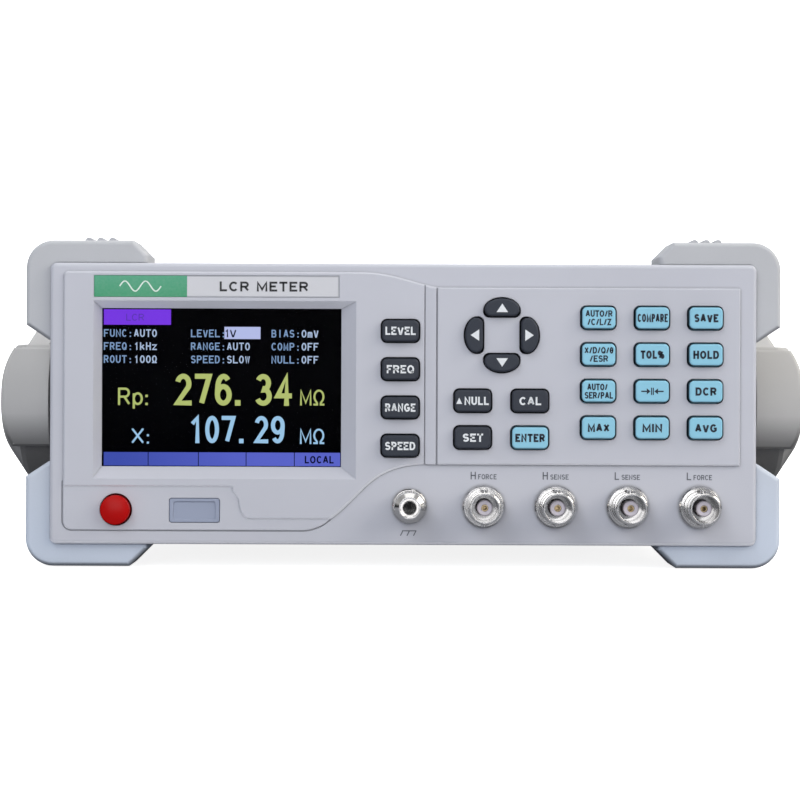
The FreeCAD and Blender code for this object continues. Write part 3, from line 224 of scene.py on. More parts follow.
def strip_colour(graph):
    """Green left end, then grey with a thin outline at the top, bottom and right."""
    x, _, z = graph.xyz
    low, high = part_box("label_strip")
    green = graph.mix(graph.remap(z, (low[2], high[2])), srgb(44, 150, 104), srgb(66, 160, 122))
    between = graph.math("MULTIPLY", graph.math("GREATER_THAN", z, low[2] + STRIP_BORDER),
                         graph.math("LESS_THAN", z, high[2] - STRIP_BORDER))
    inside = graph.math("MULTIPLY", graph.math("LESS_THAN", x, high[0] - STRIP_BORDER), between)
    right = graph.mix(inside, srgb(172, 174, 182), srgb(205, 206, 212))
    return graph.mix(graph.math("LESS_THAN", x, STRIP_SPLIT), right, green)


def bumper_lit_lower(graph):
    """Rubber painted a little lighter and cooler towards the bottom as painted light, where the front
    and the bench light it more.
    """
    height = graph.remap(graph.xyz[2], (0.010, 0.075))
    return graph.mix(height, srgb(200, 210, 226), srgb(187, 189, 194))


SURFACES = {
    # painted shade in the narrowest gaps draws the step lines between the panel fields
    "bezel_plastic": dict(
        colour=srgb(193, 195, 205), rough=0.52, grain=2600, bump=0.35, blotch=0.02, edge=0.5,
        radius=0.3, crevice_shade=0.6, recess_shade=0.22, bounce=srgb(236, 237, 244)),
    # painted shade in recesses and on faces that look down, such as the slanted ends of the lobes
    "bumper_rubber": dict(
        colour=srgb(190, 196, 206), rough=0.6, grain=1500, bump=0.35, blotch=0.03, radius=0.6,
        recess_shade=0.45, sheen=0.05, reach=0.006, recess_shade_tone=0.2, underside_shade=0.5, build=bumper_lit_lower),
    "case_paint": dict(
        colour=srgb(196, 196, 196), grain=1200, bump=0.5, blotch=0.03, edge=0.4, radius=0.4),
    # painted shade under the nose of the handle hub: strong darkening of its recesses and of faces
    # that look down
    "handle_plastic": dict(
        colour=srgb(186, 185, 184), grain=1800, bump=0.35, blotch=0.04, radius=0.6, recess_shade=0.8,
        reach=0.010, recess_shade_tone=0.10, underside_shade=0.85),
    "handle_grip_soft": dict(
        colour=srgb(120, 123, 130), rough=0.7, grain=1300, bump=0.6, blotch=0.06, edge=0.25,
        radius=0.5, sheen=0.3),
    "key_dark": dict(
        colour=srgb(42, 48, 60), rough=0.6, grain=2600, bump=0.3, blotch=0.04, edge=0.3,
        radius=0.3, edge_colour=srgb(105, 112, 125), recess_shade=0.2),
    "key_blue": dict(
        colour=KEY_TOP, grain=2600, bump=0.25, blotch=0.03, edge=0.45, radius=0.3, recess_shade=0.25,
        edge_colour=srgb(178, 224, 236), build=key_with_shaded_sides),
    "power_red": dict(
        colour=srgb(178, 4, 3), rough=0.36, grain=900, bump=0.05, blotch=0.04, edge=0.03,
        radius=0.5, spec=0.14, recess_shade=0.5, recess_shade_tone=0.15),
    "label_film": dict(
        colour=srgb(200, 201, 206), rough=0.42, grain=1500, bump=0.08, blotch=0.015, edge=0.0,
        radius=0.1, recess_shade=0.1, build=strip_colour),
    "lcd": dict(
        colour=srgb(2, 2, 4), rough=0.55, grain=900, bump=0.03, edge=0.0, radius=0.1, recess_shade=0.0,
        spec=0.0),
    "port_blue": dict(
        colour=srgb(155, 164, 187), grain=1500, bump=0.3, edge=0.4, radius=0.4, recess_shade=0.12),
    "nickel": dict(
        colour=(0.70, 0.69, 0.68, 1.0), rough=0.13, metal=1.0, grain=700, bump=0.03, edge=0.3,
        radius=0.15, recess_shade=0.75, scratch=0.04, reach=0.003, recess_shade_tone=0.22),
    # nickel with heavy painted shade in its hollows, so the bore of the ground post reads dark
    "nickel_shaded_bore": dict(
        colour=(0.74, 0.73, 0.72, 1.0), rough=0.15, metal=1.0, grain=700, bump=0.03, edge=0.3,
        radius=0.15, recess_shade=1.0, scratch=0.04, reach=0.005, recess_shade_tone=0.02),
    "ptfe": dict(
        colour=srgb(218, 211, 222), grain=1200, bump=0.1, blotch=0.03, edge=0.1, radius=0.2,
        recess_shade=0.8),
    "gold": dict(
        colour=(0.52, 0.41, 0.25, 1.0), rough=0.25, metal=1.0, grain=900, bump=0.05,
        blotch=0.08, edge=0.2, radius=0.1, recess_shade=0.5),
    "steel": dict(
        colour=(0.55, 0.55, 0.56, 1.0), rough=0.35, metal=1.0, grain=900, bump=0.1,
        blotch=0.08, edge=0.3, radius=0.15, recess_shade=0.4, scratch=0.1),
    "silicone": dict(colour=srgb(150, 150, 150), rough=0.6, grain=1200, bump=0.2),
    "pcb": dict(colour=srgb(28, 92, 56), rough=0.4, grain=1200, bump=0.2, blotch=0.08),
    "ribbon": dict(colour=srgb(170, 170, 172), rough=0.55, grain=1400, bump=0.3),
    "black_plastic": dict(
        colour=srgb(30, 30, 32), grain=1500, bump=0.4, blotch=0.06, radius=0.3,
        edge_colour=srgb(95, 95, 98)),
    "panel_paint": dict(
        colour=srgb(186, 187, 186), grain=1200, bump=0.5, blotch=0.04, edge=0.5, radius=0.3),
    "iron": dict(
        colour=srgb(70, 66, 62), rough=0.6, metal=0.3, grain=900, bump=0.5, blotch=0.12),
}


# ------------------------------------------------------------------ window, light and ink
def clear_window(name):
    """Mostly straight-through, with a weak reflection."""
    graph = MaterialGraph(name)
    haze = graph.remap(graph.noise(scale=60.0, detail=3.0), (0.3, 0.7))
    tint = graph.mix(haze, (0.97, 0.97, 0.98, 1.0), (0.94, 0.95, 0.96, 1.0))
    smears = graph.noise(scale=25.0, detail=4.0, rough=0.7)
    gloss = graph.remap(smears, (0.3, 0.75), to=(0.06, 0.16))
    fresnel = graph.node("ShaderNodeFresnel", {"IOR": 1.3}).outputs[0]
    return graph.finish(graph.node("ShaderNodeMixShader", {
        0: graph.math("MULTIPLY", fresnel, 0.02),
        1: graph.node("ShaderNodeBsdfTransparent", {0: tint}).outputs[0],
        2: graph.node("ShaderNodeBsdfGlossy", {"Roughness": gloss}).outputs[0]}))


LCD_CELLS = 6536.0          # cells of the display pattern per metre


def glow(name, colour, right=None):
    """Lit liquid-crystal colour with faint square cells, turning to right towards +X if given."""
    graph = MaterialGraph(name)
    cells = graph.node("ShaderNodeTexVoronoi",
                       {"Scale": LCD_CELLS, "Randomness": 0.0, "Vector": graph.coord},
                       feature="F1", distance="CHEBYCHEV")
    fade = graph.remap(cells.outputs["Distance"], (0.0, 0.5), to=(1.0, 0.86))
    lit = graph.mix(graph.remap(graph.xyz[0], (-0.088, -0.045)), colour, right) if right else colour
    dim = graph.mix(0.8, (0.0, 0.0, 0.0, 1.0), lit)
    return graph.finish(graph.node("ShaderNodeEmission", {0: graph.mix(fade, dim, lit)}))


def ink(name, colour):
    """Printed legend, slightly worn."""
    graph = MaterialGraph(name)
    wear = graph.noise(scale=900.0, detail=3.0, rough=0.7)
    paint = graph.mix(graph.remap(wear, (0.35, 0.7), to=(0.0, 0.25)),
                      colour, tone(colour, 0.8, lift=0.02))
    gloss = graph.remap(wear, (0.3, 0.7), to=(0.45 - 0.08, 0.45 + 0.1))
    return graph.finish(graph.node("ShaderNodeBsdfPrincipled",
                                   {"Base Color": paint, "Roughness": gloss}))


materials = {name: surface(name, **look) for name, look in SURFACES.items()}
materials["window_clear"] = clear_window("window_clear")

for name, part in frame["nodes"].items():
    # the ground post gets the nickel whose bore is painted dark as shade
    material = materials["nickel_shaded_bore" if name == "ground_post" else slot_of[name]]
    if not part.material_slots:
        part.data.materials.append(material)
    for slot in part.material_slots:
        slot.material = material


# ------------------------------------------------------------------ lettering
def arc(x, z, radius_x, radius_z, start, end):
    """Points of an elliptic arc in 15 degree steps; angles in degrees, either direction."""
    steps = int(abs(end - start) / 15.0)
    angles = [math.radians(start + (end - start) * i / steps) for i in range(steps + 1)]
    return [(x + radius_x * math.cos(a), z + radius_z * math.sin(a)) for a in angles]


# Character: (width as a share of the height, centre lines in a unit box)
GLYPHS = {
    "A": (.74, [[(0, 0), (.45, 1), (.55, 1), (1, 0)], [(.17, .32), (.83, .32)]]),
    "B": (.68, [[(0, 0), (0, 1), (.55, 1)] + arc(.60, .765, .33, .235, 90, -90)[1:-1]
                + [(.55, .53), (0, .53)],
                [(.55, .53)] + arc(.62, .265, .38, .265, 90, -90)[1:-1] + [(.55, 0), (0, 0)]]),
    "C": (.72, [arc(.52, .5, .52, .5, 42, 318)]),
    "D": (.70, [[(0, 0), (0, 1), (.45, 1)] + arc(.5, .5, .5, .5, 90, -90)[1:-1]
                + [(.45, 0), (0, 0)]]),
    "E": (.62, [[(1, 1), (0, 1), (0, 0), (1, 0)], [(0, .52), (.92, .52)]]),
    "F": (.58, [[(1, 1), (0, 1), (0, 0)], [(0, .5), (.88, .5)]]),
    "G": (.76, [arc(.5, .5, .5, .5, 42, 300)[:-1] + [(.78, .05), (1, .18), (1, .46), (.56, .46)]]),
    "H": (.68, [[(0, 0), (0, 1)], [(1, 0), (1, 1)], [(0, .52), (1, .52)]]),
    "I": (.20, [[(.5, 0), (.5, 1)]]),
    "L": (.58, [[(0, 1), (0, 0), (1, 0)]]),
    "M": (.84, [[(0, 0), (0, 1), (.5, .12), (1, 1), (1, 0)]]),
    "N": (.70, [[(0, 0), (0, 1), (1, 0), (1, 1)]]),
    "O": (.76, [arc(.5, .5, .5, .5, 90, 450)]),
    "P": (.64, [[(0, 0), (0, 1), (.55, 1)] + arc(.62, .73, .38, .27, 90, -90)[1:-1]
                + [(.55, .46), (0, .46)]]),
    "Q": (.76, [arc(.5, .5, .5, .5, 90, 450), [(.58, .30), (1.0, -.04)]]),
    "R": (.70, [[(0, 0), (0, 1), (.55, 1)] + arc(.60, .74, .36, .26, 90, -90)[1:-1]
                + [(.55, .48), (0, .48)], [(.52, .48), (1, 0)]]),
    "S": (.67, [arc(.5, .75, .46, .25, 22, 250) + arc(.5, .26, .5, .26, 78, -155)]),
    "T": (.64, [[(0, 1), (1, 1)], [(.5, 1), (.5, 0)]]),
    "U": (.68, [[(0, 1)] + arc(.5, .36, .5, .36, 180, 360) + [(1, 1)]]),
    "V": (.74, [[(0, 1), (.42, 0), (.58, 0), (1, 1)]]),
    "W": (.98, [[(0, 1), (.24, 0), (.5, .92), (.76, 0), (1, 1)]]),
    "X": (.70, [[(0, 0), (1, 1)], [(0, 1), (1, 0)]]),
    "Z": (.62, [[(0, 1), (1, 1), (0, 0), (1, 0)]]),
    "0": (.58, [arc(.5, .5, .5, .5, 90, 450)]),
    "1": (.36, [[(.0, .74), (.75, 1), (.75, 0)]]),
    "2": (.58, [arc(.5, .72, .48, .28, 165, -28) + [(0, 0), (1, 0)]]),
    "3": (.58, [arc(.48, .755, .45, .245, 155, -80) + arc(.48, .265, .52, .265, 80, -155)]),
    "4": (.60, [[(.76, 0), (.76, 1), (0, .28), (1, .28)]]),
    "6": (.58, [arc(.52, .62, .48, .38, 40, 170) + [(0, .42)] + arc(.5, .31, .5, .31, 180, 540)]),
    "7": (.56, [[(0, 1), (1, 1), (.36, 0)]]),
    "9": (.58, [arc(.48, .38, .48, .38, 220, 350) + [(1, .58)] + arc(.5, .69, .5, .31, 0, 360)]),
    "/": (.50, [[(0, -.04), (1, 1.04)]]),
    "%": (.92, [arc(.20, .76, .20, .24, 90, 450), arc(.80, .24, .20, .24, 90, 450),
                [(.24, 0), (.76, 1)]]),
    "θ": (.60, [arc(.5, .5, .5, .5, 90, 450), [(0, .5), (1, .5)]]),
    "Ω": (.80, [[(0, 0), (.30, 0), (.30, .10)] + arc(.5, .56, .5, .44, 232, -52)
                + [(.70, .10), (.70, 0), (1, 0)]]),
    "k": (.54, [[(0, 0), (0, 1)], [(.92, .70), (.05, .28)], [(.36, .42), (1, 0)]]),
    "m": (.86, [[(0, 0), (0, .70)], [(0, .42)] + arc(.25, .45, .25, .25, 180, 0) + [(.5, 0)],
                [(.5, .42)] + arc(.75, .45, .25, .25, 180, 0) + [(1, 0)]]),
    "z": (.52, [[(0, .70), (1, .70), (0, 0), (1, 0)]]),
    "p": (.58, [[(0, .70), (0, -.30)], arc(.5, .35, .5, .35, 90, 450)]),
}

# Corners in half widths and half heights
TRIANGLES = {
    "up": [(-1, -1), (1, -1), (0, 1)], "down": [(0, -1), (1, 1), (-1, 1)],
    "left": [(-1, 0), (1, -1), (1, 1)], "right": [(1, 0), (-1, 1), (-1, -1)]}


def ribbon(points, width):
    """Quads of constant width along a line, with mitred corners."""
    closed = math.dist(points[0], points[-1]) < 1e-6
    if closed:
        points = points[:-1]
    count = len(points)
    segments = count if closed else count - 1
    directions = []
    for i in range(segments):
        start, end = points[i], points[(i + 1) % count]
        length = math.dist(start, end)
        directions.append(((end[0] - start[0]) / length, (end[1] - start[1]) / length))
    left, right = [], []
    for i, (x, z) in enumerate(points):
        before = directions[i - 1] if closed or i else directions[0]
        after = directions[i] if i < segments else before
        along_x, along_z = before[0] + after[0], before[1] + after[1]
        length = math.hypot(along_x, along_z)
        along_x, along_z = along_x / length, along_z / length
        mitre = max(0.55, abs(along_x * before[0] + along_z * before[1]))
        side_x = -along_z * width / 2 / mitre
        side_z = along_x * width / 2 / mitre
        left.append((x + side_x, z + side_z))
        right.append((x - side_x, z - side_z))
    return [[right[i], right[(i + 1) % count], left[(i + 1) % count], left[i]]
            for i in range(segments)]


class Print:
    """Thin raised shapes in front of a plane that faces -Y, gathered into one mesh; in mm."""

    def __init__(self, y, thick=0.04, gap=0.01):
        self.vertices, self.faces = [], []
        self.back = y - gap
        self.front = self.back - thick

    def polygon(self, points):
        """Convex plate, its points anticlockwise as seen from the front."""
        first, count = len(self.vertices), len(points)
        self.vertices += [(x, y, z) for y in (self.front, self.back) for x, z in points]
        faces = [tuple(range(count)), tuple(range(2 * count - 1, count - 1, -1))]
        faces += [(i, i + count, (i + 1) % count + count, (i + 1) % count) for i in range(count)]
        self.faces += [tuple(i + first for i in face) for face in faces]

    def rect(self, x0, x1, z0, z1):
        self.polygon([(x0, z0), (x1, z0), (x1, z1), (x0, z1)])

    def line(self, start, end, width):
        self.polygon(ribbon([start, end], width)[0])

    def triangle(self, x, z, width, height, way):
        self.polygon([(x + a * width / 2, z + b * height / 2) for a, b in TRIANGLES[way]])

    def glyph(self, char, x, z, width, height, stroke):
        """One character whose ink fills a box with its lower left corner at x, z."""
        if char in ".:":
            half = stroke * 0.55
            middle = x + width / 2
            for rise in (0.0,) if char == "." else (0.0, 0.46):
                base = z + rise * height
                self.rect(middle - half, middle + half, base, base + 2 * half)
            return
        for line in GLYPHS[char][1]:
            points = [[x + stroke / 2 + a * (width - stroke), z + stroke / 2 + b * (height - stroke)]
                      for a, b in line]
            if line[0] != line[-1]:
                self.square_off(points, line, stroke)
            for quad in ribbon(points, stroke):
                self.polygon(quad)

    @staticmethod
    def square_off(points, line, stroke):
        """Carry upright and level ends on to the edge of the character's box."""
        for end, beside in ((0, 1), (-1, -2)):
            for along, across in ((1, 0), (0, 1)):
                straight = abs(line[end][across] - line[beside][across]) < 1e-6
                if straight and line[end][along] in (0, 1):
                    step = points[end][along] - points[beside][along]
                    points[end][along] += math.copysign(stroke / 2, step)

    def text(self, string, x, z, height, width=None, *, weight, space=0.14, centred=True):
        """Text about the level z, stretched to a width if given; returns its width.

        weight and space are the stroke and letter gap as shares of the height.
        """
        stroke = weight * height
        widths = [0.28 * height if char == " " else
                  1.15 * stroke if char in ".:" else GLYPHS[char][0] * height for char in string]
        natural = sum(widths) + space * height * (len(string) - 1)
        width = width or natural
        stretch = width / natural
        left = x - width / 2 if centred else x
        for char, advance in zip(string, widths):
            if char != " ":
                self.glyph(char, left, z - height / 2, advance * stretch, height, stroke)
            left += (advance + space * height) * stretch
        return width

    def mono(self, string, x, z, height, pitch, *, weight, fill=0.8, dot=0.5):
        """Fixed-pitch text from x rightwards; fill is the inked share of a cell
        and dot places the decimal point in its cell."""
        for i, char in enumerate(string):
            if char == " ":
                continue
            width = weight * height * 1.2 if char in ".:" else pitch * fill
            if char in "1I":
                width = min(width, GLYPHS[char][0] * height * 1.1)
            middle = x + pitch * (i + (dot if char == "." else 0.5))
            self.glyph(char, middle - width / 2, z - height / 2, width, height, weight * height)

    def done(self, name, material, slot, body="instrument"):
        mesh = bpy.data.meshes.new(name)
        mesh.from_pydata([[c * MM for c in vertex] for vertex in self.vertices], [], self.faces)
        mesh.validate()
        mesh.update()
        legend = bpy.data.objects.new(name, mesh)
        scene.collection.objects.link(legend)
        mesh.materials.append(material)
        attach(legend, body)


# ------------------------------------------------------------------ key legends
WHITE_INK = ink("legend_white", srgb(226, 230, 234))
NAVY_INK = ink("legend_navy", srgb(8, 24, 44))
GREY_INK = ink("legend_grey", srgb(92, 96, 106))
TITLE_INK = ink("legend_title", srgb(22, 24, 30))

# Key: (text, width)
WORD_KEYS = {
    "key_level": ("LEVEL", 9.2), "key_freq": ("FREQ", 8.3), "key_range": ("RANGE", 9.2),
    "key_speed": ("SPEED", 9.2), "key_cal": ("CAL", 6.6), "key_set": ("SET", 6.2),
    "key_enter": ("ENTER", 9.0), "key_compare": ("COMPARE", 9.2), "key_save": ("SAVE", 7.3),
    "key_tolerance": ("TOL%", 7.2), "key_hold": ("HOLD", 7.8), "key_dcr": ("DCR", 6.4),
    "key_max": ("MAX", 6.6), "key_min": ("MIN", 6.0), "key_average": ("AVG", 6.6)}
# Key: upper and lower line, each (text, width, shift in X)
TWO_LINE_KEYS = {
    "key_primary": (("AUTO/R", 8.2, 0.0), ("/C/L/Z", 7.2, 0.1)),
    "key_secondary": (("X/D/Q/θ", 8.8, 0.0), ("/ESR", 5.6, 0.0)),
    "key_circuit": (("AUTO/", 6.2, -0.4), ("SER/PAL", 8.6, 0.0))}
# Arrow key: (shift in X, shift in Z, width, height)
ARROW_KEYS = {
    "key_up": (0, -0.2, 3.5, 2.6), "key_down": (0, 0.2, 3.5, 2.6),
    "key_left": (0.2, 0, 2.6, 3.5), "key_right": (-0.2, 0, 2.6, 3.5)}
WHITE_KEYS = {"key_level", "key_freq", "key_range", "key_speed", "key_null", "key_cal",
              "key_set", *ARROW_KEYS}
WORD_HEIGHT = 2.5
SMALL_HEIGHT = 2.0
LINE_OFFSET = 1.27          # each line of a two-line legend from the key's middle


def word_weight(name, word):
    """Long words are printed thinner, navy ones bolder than white ones."""
    if len(word) > 6:
        return 0.185
    if name not in WHITE_KEYS:
        return 0.24
    return 0.205 if len(word) > 3 else 0.22


def sorting_sign(legend, x, z):
    """Two arrows that meet at a pair of upright bars."""
    legend.line((x - 3.4, z), (x - 1.7, z), width=0.4)
    legend.line((x + 1.7, z), (x + 3.4, z), width=0.4)
    legend.triangle(x - 1.15, z, width=1.1, height=1.8, way="right")
    legend.triangle(x + 1.15, z, width=1.1, height=1.8, way="left")
    legend.rect(x - 0.42, x - 0.12, z - 1.1, z + 1.1)
    legend.rect(x + 0.12, x + 0.42, z - 1.1, z + 1.1)


def key_legend(name):
    x, y, z = centre(name)
    legend = Print(y)
    if name in WORD_KEYS:
        word, width = WORD_KEYS[name]
        legend.text(word, x, z, WORD_HEIGHT, width, weight=word_weight(name, word), space=0.12)
    elif name in TWO_LINE_KEYS:
        for (word, width, shift), rise in zip(TWO_LINE_KEYS[name], (LINE_OFFSET, -LINE_OFFSET)):
            legend.text(word, x + shift, z + rise, SMALL_HEIGHT, width, weight=0.20, space=0.08)
    elif name == "key_null":
        legend.triangle(x - 4.2, z, width=1.8, height=1.9, way="up")
        legend.text("NULL", x + 1.1, z, WORD_HEIGHT, 7.4, weight=0.21, space=0.12)
    elif name == "key_sorting":
        sorting_sign(legend, x, z)
    else:
        shift_x, shift_z, width, height = ARROW_KEYS[name]
        legend.triangle(x + shift_x, z + shift_z, width, height, way=name[4:])
    legend.done("legend_" + name[4:], WHITE_INK if name in WHITE_KEYS else NAVY_INK,
                slot_of[name], body=name)


for name in sorted(n for n in frame["nodes"] if n.startswith("key_") and "mat" not in n):
    if slot_of[name] in ("key_dark", "key_blue"):
        key_legend(name)


# ------------------------------------------------------------------ panel and label strip
def panel_legends():
    """Names above the four jacks and a chassis sign below the ground post."""
    legend = Print(FRONT_Y)
    for jack in ("h_force", "h_sense", "l_sense", "l_force"):
        letter, word = jack.upper().split("_")
        x, _, z = centre("jack_" + jack)
        left, level = x - 3.9, z + 9.1
        width = legend.text(letter, left, level + 0.25, 2.3, weight=0.14, centred=False)
        legend.text(word, left + width + 0.75, level - 0.1, 1.55, 5.6, weight=0.15, centred=False)
    x, _, z = centre("ground_post")
    legend.line((x - 2.2, z - 7.6), (x + 2.2, z - 7.6), width=0.28)
    for shift in (-2.0, 0.0, 2.0):
        legend.line((x + shift, z - 7.7), (x + shift - 0.7, z - 9.1), width=0.28)
    legend.done("panel_legends", GREY_INK, "bezel_plastic")


def strip_legends():
    """Plain title and a two-period wave on the label strip."""
    _, y, z = centre("label_strip")
    title = Print(y)
    title.text("LCR METER", -42.6, z, 3.0, 27.0, weight=0.205, space=0.17)
    title.done("title_legend", TITLE_INK, "label_film")
    sign = Print(y)
    left, length, amplitude, steps = -86.6, 12.6, 1.55, 36
    wave = [(left + length * i / steps, z + amplitude * math.sin(4 * math.pi * i / steps))
            for i in range(steps + 1)]
    for start, end in zip(wave, wave[1:]):
        sign.line(start, end, width=0.42)
    sign.done("wave_sign", ink("legend_strip", srgb(222, 238, 228)), "label_film")


panel_legends()
strip_legends()

# ------------------------------------------------------------------ the picture on the display
LCD_LEFT = -92.45
LCD_TOP = centre("front_bezel")[2] + 29.2
LCD_FACE = centre("display_module")[1]
BACK_GAP, MIDDLE_GAP, FRONT_GAP = 0.01, 0.05, 0.09      # layers in front of the display face

STATUS_COLUMNS = (0.153, 26.932, 51.721)                # from the picture's left
STATUS_TOP, STATUS_PITCH = 7.6204, 4.0091               # first row from the top, row spacing
STATUS_ROWS = (("FUNC:AUTO", "LEVEL:", "BIAS:0mV"),
               ("FREQ:1kHz", "RANGE:AUTO", "COMP:OFF"),
               ("ROUT:100Ω", "SPEED:SLOW", "NULL:OFF"))
STATUS_TYPE = dict(height=2.3718, pitch=1.8516, weight=0.16)
BAR_EDGES = (0.306, 14.078, 29.533, 44.223, 59.066, 73.297)     # from the picture's left
BAR_INSET = 0.1224                                      # from each edge to its plate
UNIT_LEFT, UNIT_WIDTH = 60.749, 7.498


class Picture(Print):
    """Layer of the display; places are measured right and down from the picture's top left."""

    def __init__(self, gap=MIDDLE_GAP):
        super().__init__(LCD_FACE, thick=0.03, gap=gap)

    def words(self, string, right, down, *sizes, **style):
        self.text(string, LCD_LEFT + right, LCD_TOP - down, *sizes, **style)

    def cells(self, string, right, down, **style):
        self.mono(string, LCD_LEFT + right, LCD_TOP - down, **style)

    def plate(self, left, right, bottom, top):
        self.rect(LCD_LEFT + left, LCD_LEFT + right, LCD_TOP - bottom, LCD_TOP - top)


def status_text():
    material = glow("lit_text", srgb(176, 196, 224))
    values, labels = Picture(), Picture()
    for i, row in enumerate(STATUS_ROWS):
        down = STATUS_TOP + STATUS_PITCH * i
        for right, entry in zip(STATUS_COLUMNS, row):
            split = entry.index(":") + 1
            values.cells(" " * split + entry[split:], right, down, **STATUS_TYPE)
            labels.cells(entry[:split], right, down, **STATUS_TYPE)
    values.done("lit_small_text", material, "lcd")
    labels.done("lit_small_labels", glow("lit_label", srgb(128, 158, 196)), "lcd")


def tabs_and_bar():
    """Text over the plates, the cursor and tab plates, and the five-part bar at the bottom."""
    dark = Picture(FRONT_GAP)
    dark.words("1V", 37.720, 7.575, 2.4483, 3.3665, weight=0.17, centred=False)
    dark.words("LOCAL", 66.717, 46.365, 2.2953, 8.8752, weight=0.19)
    dark.done("lit_dark_text", glow("lit_dark", srgb(8, 8, 36)), "lcd")
    tab_text = Picture(FRONT_GAP)
    tab_text.words("LCR", 9.946, 2.754, 2.1423, 5.5088, weight=0.13)
    tab_text.done("lit_tab_text", glow("lit_tab_text", srgb(92, 56, 176)), "lcd")
    cursor = Picture()
    cursor.plate(left=37.414, right=48.508, bottom=9.334, top=5.585)
    cursor.done("lit_cursor", glow("lit_cursor", srgb(190, 198, 240)), "lcd")
    tab = Picture()
    tab.plate(left=0.306, right=20.964, bottom=5.050, top=0.306)
    tab.done("lit_tab", glow("lit_tab", srgb(124, 60, 232)), "lcd")
    bar = Picture(BACK_GAP)
    for left, right in zip(BAR_EDGES, BAR_EDGES[1:]):
        bar.plate(left + BAR_INSET, right - BAR_INSET, bottom=48.355, top=44.223)
    bar.done("lit_bar", glow("lit_bar", srgb(66, 82, 176), right=srgb(94, 104, 206)), "lcd")


def readings():
    """The large primary reading and the smaller secondary one below it."""
    primary = Picture()
    primary.words("Rp:", 4.744, 27.085, 5.3557, 9.1813, weight=0.125, centred=False)
    primary.cells("276.34", 21.729, 24.942, height=9.7933, pitch=6.1667,
                  weight=0.160, fill=0.84, dot=0.22)
    primary.words("MΩ", UNIT_LEFT, 27.238, 4.8967, UNIT_WIDTH, weight=0.12, centred=False)
    primary.done("lit_primary", glow("lit_green", srgb(184, 197, 116)), "lcd")
    second = Picture()
    second.words("X:", 8.875, 39.173, 4.8967, 5.5088, weight=0.12, centred=False)
    second.cells("107.29", 26.167, 37.184, height=8.4161, pitch=5.0497,
                 weight=0.150, fill=0.84, dot=0.28)
    second.words("MΩ", UNIT_LEFT, 39.173, 4.7436, UNIT_WIDTH, weight=0.12, centred=False)
    second.done("lit_secondary", glow("lit_blue", srgb(160, 204, 236)), "lcd")


status_text()
tabs_and_bar()
readings()


# ------------------------------------------------------------------ stage
def floor_paper():
    """White to the camera, duller to everything else that sees it."""
    graph = MaterialGraph("floor_paper")
    camera_ray = graph.node("ShaderNodeLightPath").outputs["Is Camera Ray"]

    def paper(first, second):
        mottle = graph.remap(graph.noise(scale=3.0, detail=3.0), (0.3, 0.7))
        return graph.node("ShaderNodeBsdfDiffuse", {0: graph.mix(mottle, first, second)}).outputs[0]

    white = paper((0.90, 0.90, 0.90, 1.0), (0.93, 0.93, 0.93, 1.0))
    dull = paper((0.30, 0.31, 0.34, 1.0), (0.32, 0.33, 0.36, 1.0))
    pick = graph.node("ShaderNodeMixShader", {0: camera_ray, 1: dull, 2: white})
    strength = graph.remap(camera_ray, (0.0, 1.0), to=(0.0, 0.86))
    lift = graph.node("ShaderNodeEmission", {0: (1.0, 1.0, 1.0, 1.0), 1: strength})
    return graph.finish(graph.node("ShaderNodeAddShader",
                                   {0: pick.outputs[0], 1: lift.outputs[0]}))


def sweep():
    """Pale floor that curves up into a backdrop behind the object."""
    half_width, front, curve_start, radius, top = 4.0, -4.0, 1.2, 0.8, 4.0
    drop = 0.0004           # keeps the floor just below the object
    profile = [(front, 0.0), (curve_start, 0.0)]
    for i in range(1, 13):
        angle = math.radians(90.0 * i / 12)
        profile.append((curve_start + radius * math.sin(angle), radius - radius * math.cos(angle)))
    profile.append((curve_start + radius, top))
    count = len(profile)
    mesh = bpy.data.meshes.new("floor")
    mesh.from_pydata([(x, y, z - drop) for x in (-half_width, half_width) for y, z in profile],
                     [], [(i, i + count, i + count + 1, i + 1) for i in range(count - 1)])
    for polygon in mesh.polygons:
        polygon.use_smooth = True
    floor = bpy.data.objects.new("floor", mesh)
    scene.collection.objects.link(floor)
    mesh.materials.append(floor_paper())


# ------------------------------------------------------------------ world, lights, camera
# (height from straight down 0 to straight up 1, brightness)
DIFFUSE_SKY = ((0.30, 0.10), (0.48, 0.50), (0.62, 0.72), (1.0, 0.80))
GLOSSY_SKY = ((0.0, 0.06), (0.38, 0.26), (0.47, 0.02), (0.58, 0.02), (0.66, 0.80), (0.85, 0.50),
              (1.0, 0.9))


def studio_world():
    """Soft light for matt surfaces, bands with a dark horizon for shiny ones, white to the camera."""
    world = bpy.data.worlds.new("studio")
    scene.world = world
    world.use_nodes = True
    graph = Graph(world.node_tree)
    direction = graph.node("ShaderNodeTexCoord").outputs["Generated"]
    height = graph.remap(graph.split(direction)[2], (-1.0, 1.0))

    def sky(stops, tint):
        node = graph.node("ShaderNodeValToRGB", {0: height})
        elements = node.color_ramp.elements
        for i, (position, value) in enumerate(stops):
            stop = elements[i] if i < 2 else elements.new(position)
            stop.position = position
            stop.color = tuple(value * channel for channel in tint) + (1.0,)
        return node.outputs[0]

    soft = sky(DIFFUSE_SKY, tint=(0.96, 0.98, 1.0))
    sharp = sky(GLOSSY_SKY, tint=(1.0, 1.0, 1.0))
    rays = graph.node("ShaderNodeLightPath").outputs
    light = graph.mix(rays["Is Glossy Ray"], soft, sharp)
    background = graph.tree.nodes["Background"]
    graph.feed(background.inputs[0],
               graph.mix(rays["Is Camera Ray"], light, (1.5, 1.5, 1.5, 1.0)))
    background.inputs[1].default_value = 0.66


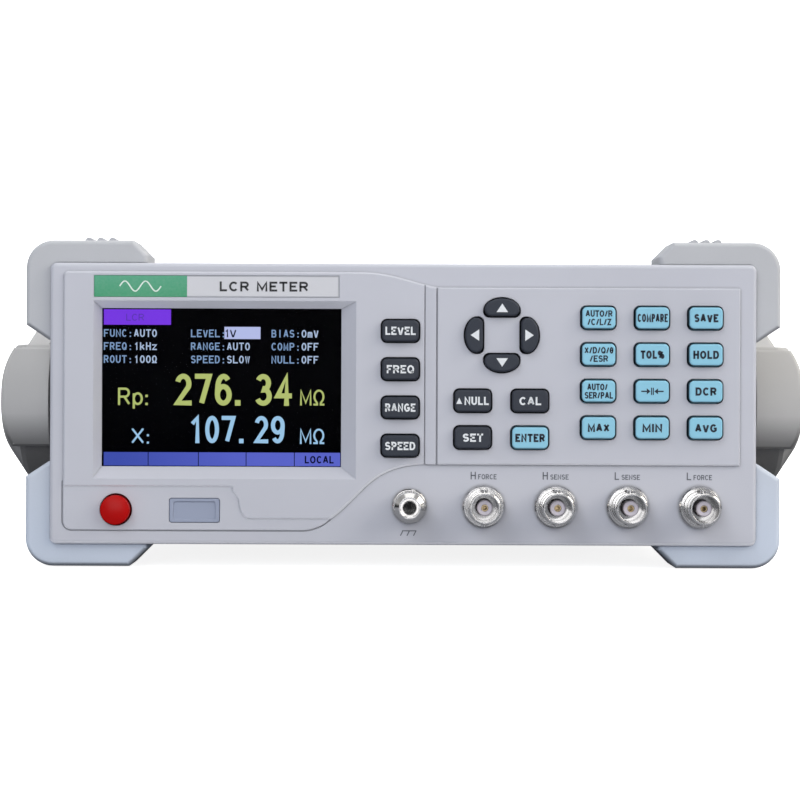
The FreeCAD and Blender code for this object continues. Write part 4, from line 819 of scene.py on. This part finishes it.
# (name, position, target, side of the square, power, colour)
LIGHTS = (
    ("key_light", (-0.9, -1.5, 1.5), (0, -0.1, 0.05), 1.1, 10.8, (0.94, 0.965, 1.0)),
    ("fill_light", (1.3, -1.1, 0.7), (0, -0.1, 0.05), 1.0, 8.6, (1.0, 0.95, 0.86)),
    ("top_light", (0.0, 0.3, 1.9), (0, 0.0, 0.0), 1.6, 6.5, (1, 1, 1)),
    ("front_low", (-0.2, -1.7, 0.12), (0, -0.1, 0.05), 1.0, 10.0, (0.97, 0.975, 1.0)),
    ("side_warm", (1.4, -0.35, 0.95), (0.1, -0.1, 0.06), 0.8, 10.0, (1.0, 0.94, 0.84)),
    ("back_soft", (-0.5, 1.15, 0.9), (0, 0.1, 0.05), 1.2, 5.0, (1, 1, 1)),
    ("back_side", (1.1, 0.9, 0.7), (0, 0.1, 0.05), 1.0, 4.0, (1, 1, 1)),
    ("back_wall", (0.0, 0.9, 2.6), (0, 2.0, 0.6), 1.6, 12, (1, 1, 1)),
)


def area_light(name, position, target, size, power, colour):
    data = bpy.data.lights.new(name, "AREA")
    data.shape = "SQUARE"
    data.size = size
    data.energy = power
    data.color = colour
    light = bpy.data.objects.new(name, data)
    light.location = position
    aim = Vector(target) - Vector(position)
    light.rotation_euler = aim.to_track_quat("-Z", "Y").to_euler()
    scene.collection.objects.link(light)


def front_camera():
    """Long lens in front of the panel, looking along +Y with a slight roll."""
    data = bpy.data.cameras.new("camera")
    data.lens = 91.35
    data.sensor_width = 36.0
    data.sensor_fit = "HORIZONTAL"
    data.shift_x = 0.0164
    data.shift_y = -0.0232
    data.clip_start = 0.05
    data.clip_end = 20.0
    camera = bpy.data.objects.new("camera", data)
    camera.location = (-0.005, FRONT_Y * MM - 0.620, 0.057)
    camera.rotation_euler = (math.pi / 2, math.radians(-0.22), 0.0)
    scene.collection.objects.link(camera)
    scene.camera = camera


sweep()
studio_world()
for light in LIGHTS:
    area_light(*light)
front_camera()
scene.view_settings.view_transform = "Standard"
